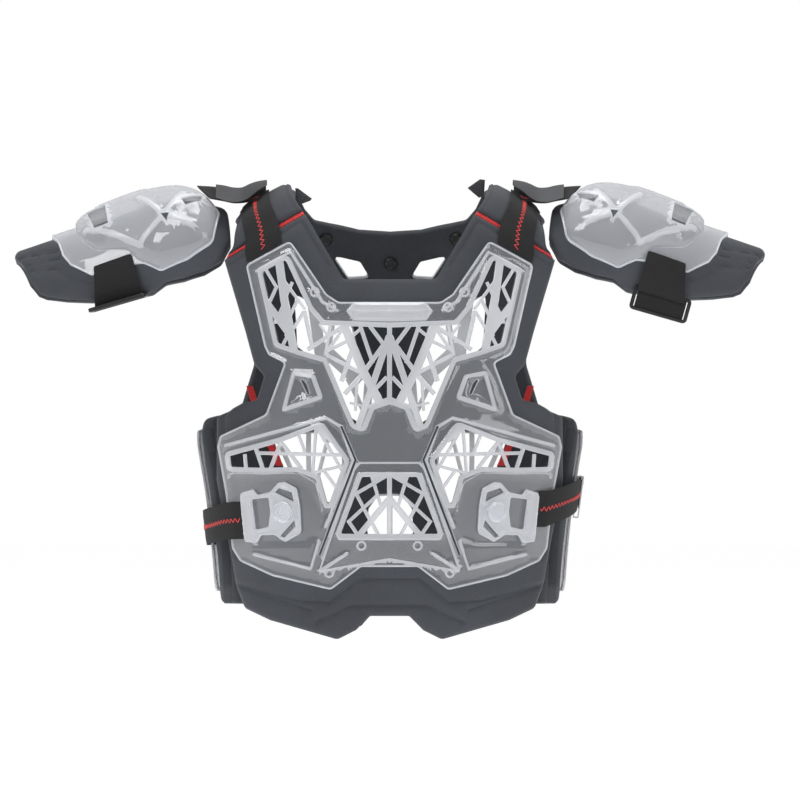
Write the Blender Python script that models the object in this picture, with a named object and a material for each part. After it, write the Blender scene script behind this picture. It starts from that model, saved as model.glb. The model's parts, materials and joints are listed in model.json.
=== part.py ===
# Chest protector: front and back plates on foam pads, shoulder bridges, straps and two arm guards.
# Metres, +Z up, front face towards -Y. The origin is between the shoulders, where the body holds it up.
import math
from bisect import bisect_left

import bmesh
import bpy
from mathutils import Vector
from mathutils.geometry import delaunay_2d_cdt

# Driving sizes
CHEST_WIDTH = 0.400          # outside, wing to wing
CHEST_DEPTH = 0.276          # outside, front plate to back plate
FRONT_LENGTH = 0.450         # shoulder line to the lowest point of the front pad
PAD_THICKNESS = 0.0125       # front, back and bridge foam
ARM_PAD_THICKNESS = 0.011
SHELL_WALL = 0.0026          # clear plates
ARM_SHELL_WALL = 0.0026
SHELL_GAP = 0.0023           # clear space between a plate and its pad
ARM_GAP = 0.0018             # the same on the arm guards
STRAP_GAP = 0.0011           # between a shoulder strap and its bridge
FACET_TOLERANCE = 0.0014     # how far a flat facet of a plate may lie from the true surface
PAD_TOLERANCE = 0.0019       # the same for the pads
WEB_WALL = 0.0018            # webbing and elastic straps
TAPE_WALL = 0.0010           # flat red tape
FLAP_WALL = 0.0015           # grey flaps
SEAM_GAP = 0.0004            # between pieces that touch
RIM_HEIGHT = 0.0016          # raised frames of the clear plates
DOME_HEIGHT = 0.0125         # how far the arm shell bulges over its pad
BRIDGE_CROWN = 0.003         # how far a shoulder bridge bulges in its middle
BUCKLE_WALL = 0.0040
KNOB_RADIUS = 0.0104
KNOB_HEIGHT = 0.0080
STUD_RADIUS = 0.0070
STUD_HEIGHT = 0.0035
ARM_BUCKLE_BAR = 0.0032      # thickness of the arm buckle's frame
ARM_BUCKLE_HEIGHT = 0.026
SLIDER_BAR = 0.0016          # wall of the strap slider
SLIDER_LENGTH = 0.008
ARM_RADIUS = 0.062           # outside of an arm pad at mid length

# The outlines are drawn in steps as seen from the front: 400 steps across the chest, 450 down.
ACROSS = CHEST_WIDTH / 400
DOWN = FRONT_LENGTH / 450
EYE_DISTANCE = 3.36          # from the eye to the plane of the drawing
EYE_HEIGHT = -0.21
DRAWING_PLANE = -0.14        # the y at which one step is its true size

STACK = PAD_THICKNESS + SHELL_GAP + SHELL_WALL
BODY_HALF_WIDTH = CHEST_WIDTH / 2 - STACK
BODY_HALF_DEPTH = CHEST_DEPTH / 2 - STACK
FRONT_SHELL_LOW = PAD_THICKNESS + SHELL_GAP
BUCKLE_LOW = STACK + SEAM_GAP                # underside of the buckles above the body
STRAP_LIFT = STACK + 0.0046                  # middle of the waist straps above the body
PAD_SEEN = PAD_THICKNESS * 0.6               # the level at which the pad's outline is drawn
BODY_POWER = 2.3             # squareness of the body's level sections

# Level sections of the body: share of the length down, then shares of the half width, the front
# half depth and the back half depth.
BODY = [
    (-0.10, 1.20, 0.50, 0.50),
    (0.00, 1.17, 0.61, 0.63),
    (0.055, 1.15, 0.69, 0.73),
    (0.10, 1.12, 0.765, 0.81),
    (0.25, 1.05, 0.87, 0.95),
    (0.45, 1.01, 0.98, 1.00),
    (0.56, 1.00, 1.00, 0.98),
    (0.68, 0.955, 1.00, 0.93),
    (0.80, 0.92, 0.98, 0.88),
    (0.90, 0.90, 0.95, 0.84),
    (1.06, 0.88, 0.88, 0.80),
]

# Front plate and pad, right half from the top of the centre line down to its foot:
# steps across, steps down, corner radius.
SHELL_OUTLINE = [
    (0, 112, 0), (51, 112, 8), (63, 104, 6), (99.5, 50.5, 6), (144, 75, 6), (125.3, 156.5, 0),
    (121, 165, 4), (105, 173, 4), (124, 224.5, 6), (170, 246, 5), (172.5, 257, 0),
    (164.3, 302.7, 0), (157.7, 358.4, 5), (150, 371, 6), (117.5, 386, 0), (58.7, 400, 6),
    (28.5, 377, 4), (0, 376.7, 0),
]
PAD_OUTLINE = [
    (0, 89.5, 0), (46, 89.5, 7), (58, 68.4, 0), (84.3, 24.6, 0), (104.4, 36, 0), (124.5, 47.4, 0),
    (144.6, 58.8, 0), (164.7, 70.2, 0), (143.6, 141, 0),
    (134.5, 175, 12), (124.6, 186, 6), (132, 210, 6), (146, 213, 0), (171.6, 227, 6), (172, 290, 0),
    (157, 368.6, 0), (152.6, 395, 0), (143.8, 418, 8), (118.8, 430, 0), (52, 449.3, 8),
    (33.5, 440, 4), (19.5, 425.8, 4), (0, 425.8, 0),
]
UPPER_WINDOW = [
    (0, 137.5, 0), (67.5, 135, 4), (81, 119, 4), (104, 69.5, 3), (127.5, 82, 4), (111.5, 153, 4),
    (89.5, 160.5, 0), (63, 168, 5), (35, 234, 4), (27.5, 237, 2), (19, 215.5, 3), (0, 209.2, 0),
]
SIDE_WINDOW = [
    (159.6, 266, 0), (108, 252, 0), (69, 237, 3), (45, 271, 2), (61.4, 316.7, 2), (70, 285.5, 3),
    (91.2, 276.9, 3), (126, 277.8, 0), (158.4, 276.9, 2),
]
LOWER_WINDOW = [
    (0, 286.9, 0), (27.4, 286.9, 2), (48.8, 343.9, 2), (0, 343.9, 0),
]
SCOOP = [(97.3, 180.5, 3), (75, 185, 2), (66.5, 208.5, 4), (108.5, 222.4, 2)]
SCOOP_SLOT = [(89.3, 189.9, 0), (87, 189.5, 0), (83.6, 193.3, 0), (80, 203.6, 0), (82, 205, 0)]
CENTRE_BAR = [(0, 112.4, 0), (36.5, 112.4, 1), (43.5, 121, 1), (36.5, 130.5, 1), (0, 131.6, 0)]
LOWER_PANEL = [(0, 272, 0), (30, 272, 2), (36, 279, 0), (71.5, 382.4, 2), (0, 370, 0)]
FLEX_SLIT = [(48.5, 236, 2.4), (34, 270, 2.4), (70.5, 365.7, 2.4)]

# Bars of the lattices, right half: from across, down to across, down, width.
UPPER_BARS = [
    (110.5, 70, 105, 110, 8), (105, 110, 101, 130, 8), (101, 130, 96, 158, 8),
    (123, 80.5, 113.5, 96.5, 3), (113, 97, 119.5, 111.5, 3), (120, 114.5, 99.5, 142, 4.5),
    (118.5, 122, 102.5, 144, 3), (106.5, 116, 110, 124, 3), (106, 90, 85, 118.5, 3),
    (97.5, 93, 103.5, 106, 3), (91.5, 109, 98.5, 124, 3), (86, 122, 95.5, 138, 3),
    (85, 122, 77, 158, 4), (114.5, 132, 108.5, 132, 3), (102.5, 147, 106, 154, 3),
    (103.5, 145, 93, 158, 3), (81, 159, 48.5, 138, 4), (69.5, 135, 61.5, 145.5, 3),
    (59, 136, 64, 165, 3), (48, 141, 63, 163, 3), (45.5, 135, 26.5, 180.7, 8.5),
    (26.5, 180.7, 9, 214, 8.5), (44, 152, 60.5, 160, 3), (38, 162, 47.5, 190, 4.5),
    (61, 166, 28.5, 183, 4), (28.5, 186, 44, 203, 4.5), (29, 137, 17, 172, 4),
    (30, 140, 38.5, 147, 3), (19, 137, 4, 157, 4), (7.5, 157, 24, 180, 4.5), (0, 135, 0, 211, 5),
    (1, 148, 31, 236, 6.5), (32.5, 192, 34, 220, 3), (39, 213, 22, 217, 2.5),
    (3.5, 188, 15, 200, 4), (20, 217, 0, 208.5, 4),
]
SIDE_BARS = [
    (144.5, 265, 143.5, 278, 3), (133, 260, 126.5, 279, 3.5), (108.5, 252, 119, 279, 3.5),
    (108.5, 252, 88.5, 278, 3.5), (132, 263, 44, 265, 3.5), (90.5, 246, 84, 263, 3),
    (73.5, 240, 77, 284, 3), (71, 240, 46, 283, 3), (71, 239, 59, 251, 3), (77, 283, 48, 276, 3),
    (66, 280, 53, 298, 3),
]
LOWER_BARS = [
    (0, 285, 0, 346, 5), (1.5, 285, 34, 304, 3.5), (18, 285, 8, 318, 3.5), (13, 306, 39, 330, 3.5),
    (33, 304, 19, 331, 3.5), (41, 331, 31, 346, 3.5), (0.5, 309, 31, 346, 6), (17, 334, 10, 347, 3.5),
]

# Back pad and plate, right half: steps round the body from the middle of the back, steps down,
# corner radius.
BACK_OUTLINE = [
    (0, 45, 0), (29, 43, 6), (47, 37.5, 6), (70, 33, 8), (78, 22, 6), (84, 5, 0), (142, 38, 0),
    (140, 110, 20), (144, 175, 20), (164, 222, 10), (232, 229, 0), (258, 238, 8), (276, 262, 10),
    (279, 330, 0), (268, 396, 12), (246, 413, 8), (150, 414, 0), (110, 424, 0), (60, 440, 8),
    (35, 436, 4), (20, 422, 4), (0, 422, 0),
]
BACK_SHELL_OUTLINE = [
    (0, 60, 0), (45, 58, 8), (73, 52, 8), (87, 26, 8), (130, 50, 6), (128, 110, 20), (132, 178, 20),
    (152, 234, 10), (240, 240, 10), (266, 262, 10), (268, 330, 0), (258, 388, 10), (236, 400, 8),
    (150, 402, 0), (100, 411, 0), (52, 426, 6), (24, 408, 4), (0, 408, 0),
]
BACK_NECK_WINDOW = [(55, 67, 3), (30, 73, 3), (21, 89, 3), (41, 90, 3)]
BACK_UPPER_WINDOW = [
    (97, 104, 5), (71, 120, 5), (39, 138, 5), (32, 176, 4), (10, 206, 3), (11, 230, 3), (26, 236, 3),
    (49, 222, 5), (67, 178, 5), (97, 156, 5),
]
BACK_UPPER_BARS = [
    (77, 110, 69, 182, 11), (56, 122, 67, 182, 6), (67, 160, 34, 190, 13), (43, 190, 20, 236, 5),
    (22, 190, 26, 234, 9),
]
BACK_SIDE_WINDOW = [(128, 246, 5), (52, 240, 5), (50, 300, 5), (62, 314, 4), (112, 296, 5)]
BACK_SIDE_BARS = [(118, 242, 96, 302, 5), (84, 240, 88, 308, 5), (62, 240, 84, 306, 4)]
BACK_LOWER_WINDOW = [(0, 304, 0), (14, 305, 6), (24, 318, 5), (26, 344, 4), (0, 345, 0)]
BACK_LOWER_BARS = [(0, 302, 0, 348, 5)]

# Rows of a shoulder bridge between its front and back edges: share of the way along, share of
# the body's half depth towards the back, steps across and down of the inner edge and the outer.
BRIDGE_ROWS = [
    (0.22, -0.52, 93, 12, 150, 50),
    (0.40, -0.22, 96, 4, 146, 36),
    (0.60, 0.15, 96, 4, 145, 34),
    (0.80, 0.48, 95, 9, 150, 39),
]
BRIDGE_FRONT = ((84.3, 24.6), (164.7, 70.2))     # the line where the front pad ends
BRIDGE_BACK = ((84, 4), (142, 37))               # the line where the back pad ends
RIM_WIDTH = 6.0                                  # slope of the raised frames, steps
PAD_ROUNDING = 5.0                               # rounded edges of the pads, steps
BRIDGE_WIDTH = 72                                # the drawing of the bridge, steps
BRIDGE_LENGTH = 165
TAPE_BAND = 4.2                                  # width of the red shoulder band, steps

# Arm guard: steps across, steps down of the pad's top line, shares of ARM_RADIUS for height and depth.
ARM = [
    (385, 66, 0.90, 0.80),
    (338, 50, 0.96, 0.88),
    (296, 36, 1.00, 0.95),
    (260, 22, 1.04, 1.00),
    (234, 14, 1.08, 1.04),
    (205, 11, 1.12, 1.08),
    (175, 16, 1.12, 1.08),
    (145, 26, 1.08, 1.04),
]
ARM_QUARTER = 100            # steps from the top of the arm round to its front
# Lower front edges as seen from the front: steps across, steps down, corner radius.
ARM_PAD_FRONT = [
    (375.9, 64.7, 3), (360.6, 90, 0), (351, 103.4, 6), (343, 107.2, 0), (322.3, 110.1, 0),
    (295.5, 111.5, 0), (242.9, 105.2, 0), (236.3, 103.5, 4), (223.8, 92.8, 3), (205.6, 88.6, 0),
    (184.9, 81.2, 0), (168, 70.4, 8), (158.5, 52, 6), (157.5, 39.7, 0),
]
ARM_SHELL_FRONT = [
    (336.7, 52, 0), (330.9, 55.6, 5), (326.1, 68, 4), (318.5, 76.6, 4), (297.4, 86.2, 4), (262, 76, 0),
    (246, 74, 4), (228, 81.5, 5), (201.5, 70.4, 0), (176.6, 54.6, 6),
]
ARM_DOME_FRONT = [
    (313, 47, 0), (303.2, 56.5, 4), (292.7, 62.3, 4), (262, 61.3, 6), (250, 71, 3), (228, 79.5, 5),
    (201.5, 68.4, 0), (178, 53.6, 6),
]
ARM_PAD_INNER = [(160, 22, 0), (163, 0, 0)]      # inner end, steps across and round from the top
ARM_SHELL_INNER = [(170.5, 38, 0), (178, 24, 6), (192, 0, 0)]
ARM_DOME_INNER = [(172.5, 38, 0), (180, 24, 6), (193, 0, 0)]
ARM_WINDOWS = [
    [(226.3, 34, 0), (218, 33, 0), (220.5, 40, 0)],
    [(208, 22, 0), (189, 19, 0), (191, 24, 0), (204, 27, 0)],
    [(299, 38, 0), (279, 30, 0), (276, 44, 0), (290, 49, 0)],
]
ARM_LIFT_RIGHT = 3.0         # the right guard stands a little higher, steps
ARM_STRAP = (294.5, 257.5, 247, 84, 134)    # outer edge, inner edge at the slot and at the foot; slot, foot

# Waist straps: steps round the body, steps down of the top edge and of the foot edge.
WAIST_LEFT = [(178, 322, 355), (216, 322, 355), (252, 321, 355), (290, 318, 353), (318, 313, 350), (332, 312, 349)]
WAIST_RIGHT = [(178, 286, 318), (216, 286, 318), (252, 287, 319), (290, 292, 326), (318, 298, 333), (332, 301, 337)]
WAIST_ROWS = 16
WAIST_END = {-1: 138.99, 1: 140.17}      # steps across at which a waist strap bends to its buckle
SLIDER_AT = 261              # steps round the body
BUCKLE_OUTLINE = [
    (150.2, 307, 0), (149, 303, 3), (138.2, 299.7, 0), (133.9, 305.2, 2), (120.1, 302.3, 2),
    (111.5, 292.8, 2), (105.7, 292.1, 2), (94, 298.5, 3), (90.4, 316.7, 0), (89.2, 340.6, 0),
    (90.4, 344, 3), (104.8, 352.1, 2), (115.3, 344.9, 2), (130.1, 345.4, 2), (133.9, 353, 2),
    (145, 352, 3), (146, 348.5, 0),
]
BUCKLE_OPENINGS = [
    [(137.5, 312, 2), (122.5, 309, 2), (121.5, 331, 2), (131.5, 338.5, 2)],
    [(114.5, 302.5, 1), (111, 299.5, 1), (99, 303.5, 1), (98, 309, 1)],
    [(110, 344, 1), (96, 331, 1), (95.5, 336, 1), (106.5, 346.5, 1)],
]
KNOB_AT = (108.6, 322.4)

# Black webbing on the shoulder: steps along the bridge, shares across it of the inner and outer edge.
SHOULDER_STRAP = [(9, 0.31, 0.72), (38, 0.35, 0.82), (85, 0.37, 0.86), (158, 0.37, 0.86)]
SHOULDER_STRAP_ROWS = 16
# Link strap and flap, rows from the shoulder out to the arm or back: steps across, share of the
# body's half depth and steps down of the front edge, then of the back edge.
LINK_ROWS = [
    (124, -0.36, 2.8, 124, 0.10, -7.2), (134, -0.40, 8.3, 134, 0.09, -4.7), (145, -0.42, 11, 148, 0.08, -4),
    (156, -0.42, 12, 162, 0.06, -4), (166, -0.40, 10, 176, 0.05, -5), (175, -0.38, 9.4, 188, 0.04, -4),
]
LINK_REACH = {-1: 5.2, 1: 3.0}       # steps by which a link strap runs on to its arm guard
FLAP_ROWS = [
    (174, -0.33, 4.5, 174, -0.04, -8), (166, -0.36, 6, 166, -0.04, -8), (157, -0.37, 7, 157, -0.04, -7),
    (148, -0.37, 6, 148, -0.04, -7), (140, -0.36, 0.5, 140, -0.04, -10), (132, -0.34, -7, 132, -0.04, -13),
    (123, -0.31, -11, 123, -0.04, -15),
]
COLLAR_TABS = {
    -1: [(95, -1.7), (92.3, -1.9), (78, 8.6), (80, 10.8), (92.3, 15.3)],
    1: [(77.5, -2), (90, -10.7), (95, -10), (94, 6), (89, 7.8)],
}
NECK_STUDS = {"left": (-64.5, 49.3), "centre": (0.3, 73.3), "right": (66.3, 48.6)}
SIDE_TAPE = [(158, 196), (149, 222), (137, 248), (125, 276)]     # steps round and down
SIDE_TAPE_WIDTH = 9


# Materials

def finish(name, colour, roughness, clear=0.0):
    made = bpy.data.materials.new(name)
    made.use_nodes = True
    shader = made.node_tree.nodes["Principled BSDF"]
    shader.inputs["Base Color"].default_value = (*colour, 1)
    shader.inputs["Roughness"].default_value = roughness
    shader.inputs["Transmission Weight"].default_value = clear
    return made


# Curves and surfaces that the pieces follow

def smoothRow(rows, at):
    """The values of a table at one place, on a smooth curve through its rows."""
    last = len(rows) - 1
    low = 0
    while low < last - 1 and at > rows[low + 1][0]:
        low += 1
    span = rows[low + 1][0] - rows[low][0]
    t = min(max((at - rows[low][0]) / span, 0.0), 1.0)
    before = rows[max(low - 1, 0)]
    after = rows[min(low + 2, last)]
    result = []
    for i in range(1, len(rows[0])):
        a, b = rows[low][i], rows[low + 1][i]
        left = (b - before[i]) / (rows[low + 1][0] - before[0]) * span
        right = (after[i] - a) / (after[0] - rows[low][0]) * span
        result.append(a * (2*t**3 - 3*t**2 + 1) + b * (3*t**2 - 2*t**3)
                      + left * (t**3 - 2*t**2 + t) + right * (t**3 - t**2))
    return result


def asSeen(across, down, depth):
    """The x and z at a depth of a point drawn as seen from the front."""
    grow = 1 + (depth - DRAWING_PLANE) / EYE_DISTANCE
    return across * ACROSS * grow, EYE_HEIGHT + (-down * DOWN - EYE_HEIGHT) * grow


def ringSize(z):
    width, front, back = smoothRow(BODY, -z / FRONT_LENGTH)
    return width * BODY_HALF_WIDTH, front * BODY_HALF_DEPTH, back * BODY_HALF_DEPTH


def ringLevel(point):
    """Zero on the body, positive outside it."""
    width, front, back = ringSize(point.z)
    depth = front if point.y < 0 else back
    return abs(point.x / width) ** BODY_POWER + abs(point.y / depth) ** BODY_POWER


def bodyNormal(point, step=1e-4):
    slope = Vector([ringLevel(point + d) - ringLevel(point - d) for d in
                    (Vector((step, 0, 0)), Vector((0, step, 0)), Vector((0, 0, step)))])
    return slope.normalized()


def onFront(spot, seenLift):
    """The point of the body's front, and its normal, that is seen at a spot of the drawing."""
    x, z = asSeen(spot[0], spot[1], DRAWING_PLANE)
    for _ in range(6):
        width, front, _back = ringSize(z)
        share = min(abs(x) / width, 0.985)
        base = Vector((x, -front * (1 - share ** BODY_POWER) ** (1 / BODY_POWER), z))
        normal = bodyNormal(base)
        shown = base + normal * seenLift
        seenX, seenZ = asSeen(spot[0], spot[1], shown.y)
        x += (seenX - shown.x) * 0.8
        z += (seenZ - shown.z) * 0.8
    return base, normal


def ringCorner(angle, width, depth):
    """A point of a level section, at an angle from the back towards the side."""
    across, along = math.sin(angle), math.cos(angle)
    return Vector((math.copysign(abs(across) ** (2 / BODY_POWER), across) * width,
                   math.copysign(abs(along) ** (2 / BODY_POWER), along) * depth))


def arcTable():
    """Lengths round the body's widest ring, in steps, with the angle from the back."""
    rows = []
    total = 0.0
    past = None
    for i in range(0, 361):
        angle = math.radians(i / 2)
        here = ringCorner(angle, BODY_HALF_WIDTH, BODY_HALF_DEPTH)
        if past:
            total += (here - past).length
        rows.append((total / ACROSS, angle))
        past = here
    return rows


ARCS = arcTable()


def angleRound(steps):
    size = abs(steps)
    place = min(max(bisect_left(ARCS, (size,)), 1), len(ARCS) - 1)
    (a, first), (b, second) = ARCS[place - 1], ARCS[place]
    return math.copysign(first + (second - first) * (size - a) / (b - a), steps)


def onRing(spot, seenLift=0.0):
    """The point of the body, and its normal, at steps round from the back and steps down."""
    angle = angleRound(spot[0])
    z = -spot[1] * DOWN
    for _ in range(4):
        width, front, back = ringSize(z)
        base = ringCorner(angle, width, back if math.cos(angle) > 0 else front).to_3d()
        base.z = z
        normal = bodyNormal(base)
        shown = base + normal * seenLift
        z += asSeen(0, spot[1], shown.y)[1] - shown.z
    return base, normal


def bridgeTable():
    """Rows of the bridge: share along, then x, y, z of its inner and its outer edge."""
    rows = [(0.0, *[c for spot in BRIDGE_FRONT for c in onFront(spot, PAD_SEEN)[0]])]
    for share, back, innerAcross, innerDown, outerAcross, outerDown in BRIDGE_ROWS:
        y = back * BODY_HALF_DEPTH
        innerX, innerZ = asSeen(innerAcross, innerDown, y)
        outerX, outerZ = asSeen(outerAcross, outerDown, y)
        rows.append((share, innerX, y, innerZ, outerX, y, outerZ))
    rows.append((1.0, *[c for spot in BRIDGE_BACK for c in onRing(spot)[0]]))
    return rows


BRIDGE = bridgeTable()


def endBulge(share, ends, place):
    """How far the body bulges past the straight line between the two ends of a seam."""
    spot = [ends[0][i] + (ends[1][i] - ends[0][i]) * share for i in (0, 1)]
    return place(spot) - place(ends[0]).lerp(place(ends[1]), share)


BULGES = [(endBulge(k / 10, BRIDGE_FRONT, lambda spot: onFront(spot, PAD_SEEN)[0]),
           endBulge(k / 10, BRIDGE_BACK, lambda spot: onRing(spot)[0])) for k in range(11)]


def bridgePoint(share, along):
    row = smoothRow(BRIDGE, along)
    middle = Vector(row[:3]).lerp(Vector(row[3:]), share)
    inside = min(max(share, 0.0), 1.0) * 10
    low = min(int(inside), 9)
    front, back = [a.lerp(b, inside - low) for a, b in zip(BULGES[low], BULGES[low + 1])]
    middle += front * max(1 - along / 0.3, 0) ** 2 + back * max(1 - (1 - along) / 0.3, 0) ** 2
    crown = BRIDGE_CROWN * 4 * share * (1 - share) * math.sin(math.pi * min(max(along, 0), 1))
    return middle + Vector((0, 0, crown))


def onBridge(spot, _seenLift=0.0):
    share, along = spot[0] / BRIDGE_WIDTH, spot[1] / BRIDGE_LENGTH
    base = bridgePoint(share, along)
    sideways = bridgePoint(share + 0.03, along) - bridgePoint(share - 0.03, along)
    lengthways = bridgePoint(share, along + 0.02) - bridgePoint(share, along - 0.02)
    normal = sideways.cross(lengthways).normalized()
    for near, ends, place in ((1 - along / 0.2, BRIDGE_FRONT, onFront), (1 - (1 - along) / 0.2, BRIDGE_BACK, onRing)):
        if near > 0:
            seam = [ends[0][i] + (ends[1][i] - ends[0][i]) * share for i in (0, 1)]
            normal = normal.lerp(place(seam, PAD_SEEN)[1], min(near, 1))
    return base, normal.normalized()


def armPoint(across, round_, lift=0.0):
    """A point of the arm pad's outside: steps out from the middle, steps round from the top."""
    top, height, depth = smoothRow([(-a, b, c, d) for a, b, c, d in ARM], -across)
    angle = round_ / ARM_QUARTER * math.pi / 2
    y = -math.sin(angle) * (depth * ARM_RADIUS + lift)
    x = asSeen(across, 0, y)[0]
    z = asSeen(0, top, 0)[1] - height * ARM_RADIUS + math.cos(angle) * (height * ARM_RADIUS + lift)
    return Vector((x, y, z))


def onArm(spot, _seenLift=0.0):
    base = armPoint(spot[0], spot[1])
    outwards = armPoint(spot[0] + 1, spot[1]) - armPoint(spot[0] - 1, spot[1])
    around = armPoint(spot[0], spot[1] + 1) - armPoint(spot[0], spot[1] - 1)
    return base, around.cross(outwards).normalized()


def armRound(across, down):
    """How far round the arm, in steps, a point lies that is seen from the front."""
    low, high = 0.0, ARM_QUARTER * 1.35
    for _ in range(30):
        middle = (low + high) / 2
        point = armPoint(across, middle)
        if point.z > asSeen(0, down, point.y)[1]:
            low = middle
        else:
            high = middle
    return low


# Flat drawing

def rounded(corners, steps=3):
    """A loop of points from rows of across, down, corner radius."""
    loop = []
    for i, (across, down, radius) in enumerate(corners):
        here = Vector((across, down))
        if not radius:
            loop.append(here)
            continue
        back = Vector(corners[i - 1][:2]) - here
        on = Vector(corners[(i + 1) % len(corners)][:2]) - here
        cut = radius / math.tan(max(back.angle(on) / 2, 0.2))
        start = here + back.normalized() * min(cut, 0.45 * back.length)
        end = here + on.normalized() * min(cut, 0.45 * on.length)
        for k in range(steps + 1):
            t = k / steps
            loop.append(start * (1 - t)**2 + here * (2*t*(1 - t)) + end * t**2)
    return turned(loop)


def turned(loop):
    """The loop, run so that its inside is on the left."""
    area = sum(a.x * b.y - b.x * a.y for a, b in zip(loop, loop[1:] + loop[:1]))
    return loop if area > 0 else loop[::-1]


def mirrored(half):
    return [(-a, d, r) for a, d, r in half if a > 0][::-1] + list(half)


def bothSides(loops):
    return loops + [turned([Vector((-p.x, p.y)) for p in loop]) for loop in loops]


def inset(loop, distance):
    moved = []
    for i, here in enumerate(loop):
        came = (here - loop[i - 1]).normalized()
        goes = (loop[(i + 1) % len(loop)] - here).normalized()
        left = Vector((-came.y, came.x))
        middle = left + Vector((-goes.y, goes.x))
        middle = middle.normalized() if middle.length > 0.3 else left
        moved.append(here + middle * (distance / max(middle.dot(left), 0.6)))
    return moved


def strays(a, b, place):
    """How far the middle of a straight edge would lie from the surface."""
    ends = (place(a)[0] + place(b)[0]) / 2
    middle, normal = place((a + b) / 2)
    return abs((middle - ends).dot(normal))


def divided(loop, place, tolerance):
    """The loop with its edges cut until they follow the surface."""
    made = []
    for a, b in zip(loop, loop[1:] + loop[:1]):
        pieces = 1
        while strays(a, a.lerp(b, 1 / pieces), place) > tolerance and pieces < 8:
            pieces += 1
        made.extend(a.lerp(b, k / pieces) for k in range(pieces))
    return made


def nearest(spot, loop):
    """Distance from a spot to the edge of a loop."""
    best = 1e9
    for a, b in zip(loop, loop[1:] + loop[:1]):
        edge = b - a
        t = min(max((spot - a).dot(edge) / max(edge.length_squared, 1e-9), 0.0), 1.0)
        best = min(best, (spot - a - edge * t).length)
    return best


def holds(loop, spot):
    inside = False
    for a, b in zip(loop, loop[1:] + loop[:1]):
        if (a.y > spot.y) != (b.y > spot.y):
            if spot.x < a.x + (spot.y - a.y) / (b.y - a.y) * (b.x - a.x):
                inside = not inside
    return inside


def bar(row, mirror=1):
    start, end = Vector((row[0] * mirror, row[1])), Vector((row[2] * mirror, row[3]))
    along = (end - start).normalized()
    side = Vector((-along.y, along.x)) * row[4] / 2
    start -= along * row[4] * 0.3
    end += along * row[4] * 0.3
    return turned([start - side, end - side, end + side, start + side])


def bars(rows):
    made = [bar(row) for row in rows]
    made += [bar(row, -1) for row in rows if row[0] or row[2]]
    return made


def slit(rows):
    """A thin bent slot through the rows of across, down, width."""
    left, right = [], []
    for i, (across, down, width) in enumerate(rows):
        here = Vector((across, down))
        before = Vector(rows[max(i - 1, 0)][:2])
        after = Vector(rows[min(i + 1, len(rows) - 1)][:2])
        side = (after - before).normalized()
        side = Vector((-side.y, side.x)) * width / 2
        left.append(here + side)
        right.append(here - side)
    return turned(left + right[::-1])


# Solids

def addObject(name, mesh, material):
    for face in mesh.faces:
        face.material_index = 0
    bmesh.ops.recalc_face_normals(mesh, faces=mesh.faces)
    data = bpy.data.meshes.new(name)
    mesh.to_mesh(data)
    mesh.free()
    data.materials.append(material)
    made = bpy.data.objects.new(name, data)
    bpy.context.scene.collection.objects.link(made)
    return made


def groups(indices, linked):
    """Indices gathered into groups that hang together."""
    left = set(indices)
    found = []
    while left:
        queue = [left.pop()]
        group = []
        while queue:
            one = queue.pop()
            group.append(one)
            for other in linked[one]:
                if other in left:
                    left.remove(other)
                    queue.append(other)
        found.append(group)
    return found


def cutSheet(outline, windows, crossings, guides, place, smallest, tolerance):
    """Triangles of a sheet: an outline, windows cut from it and bars that cross them."""
    shape, openings = keptShape(outline, windows, crossings, smallest)
    shape = [divided(loop, place, tolerance) for loop in shape]
    rims = [edge for loop in shape for edge in zip(loop, loop[1:] + loop[:1])]
    points, links = [], []
    for loop in shape + guides:
        first = len(points)
        points.extend(loop)
        links.extend((first + i, first + (i + 1) % len(loop)) for i in range(len(loop)))
    for _ in range(7):
        flat, _edges, triangles = delaunay_2d_cdt(points, links, [], 0, 0.1, False)[:3]
        inner = [t for t in triangles if crossesOdd(rims, (flat[t[0]] + flat[t[1]] + flat[t[2]]) / 3)]
        inside = {edge for t in inner for edge in zip(t, t[1:] + t[:1])}
        halves = [(flat[a] + flat[b]) / 2 for a, b in sorted(inside) if a < b and (b, a) in inside
                  and strays(flat[a], flat[b], place) > tolerance]
        if not halves:
            break
        points.extend(halves)
    return flat, inner, openings


def crossesOdd(rims, spot):
    """Whether a spot lies inside the shape that a set of edges bounds."""
    inside = False
    for a, b in rims:
        if (a.y > spot.y) != (b.y > spot.y):
            if spot.x < a.x + (spot.y - a.y) / (b.y - a.y) * (b.x - a.x):
                inside = not inside
    return inside


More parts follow.
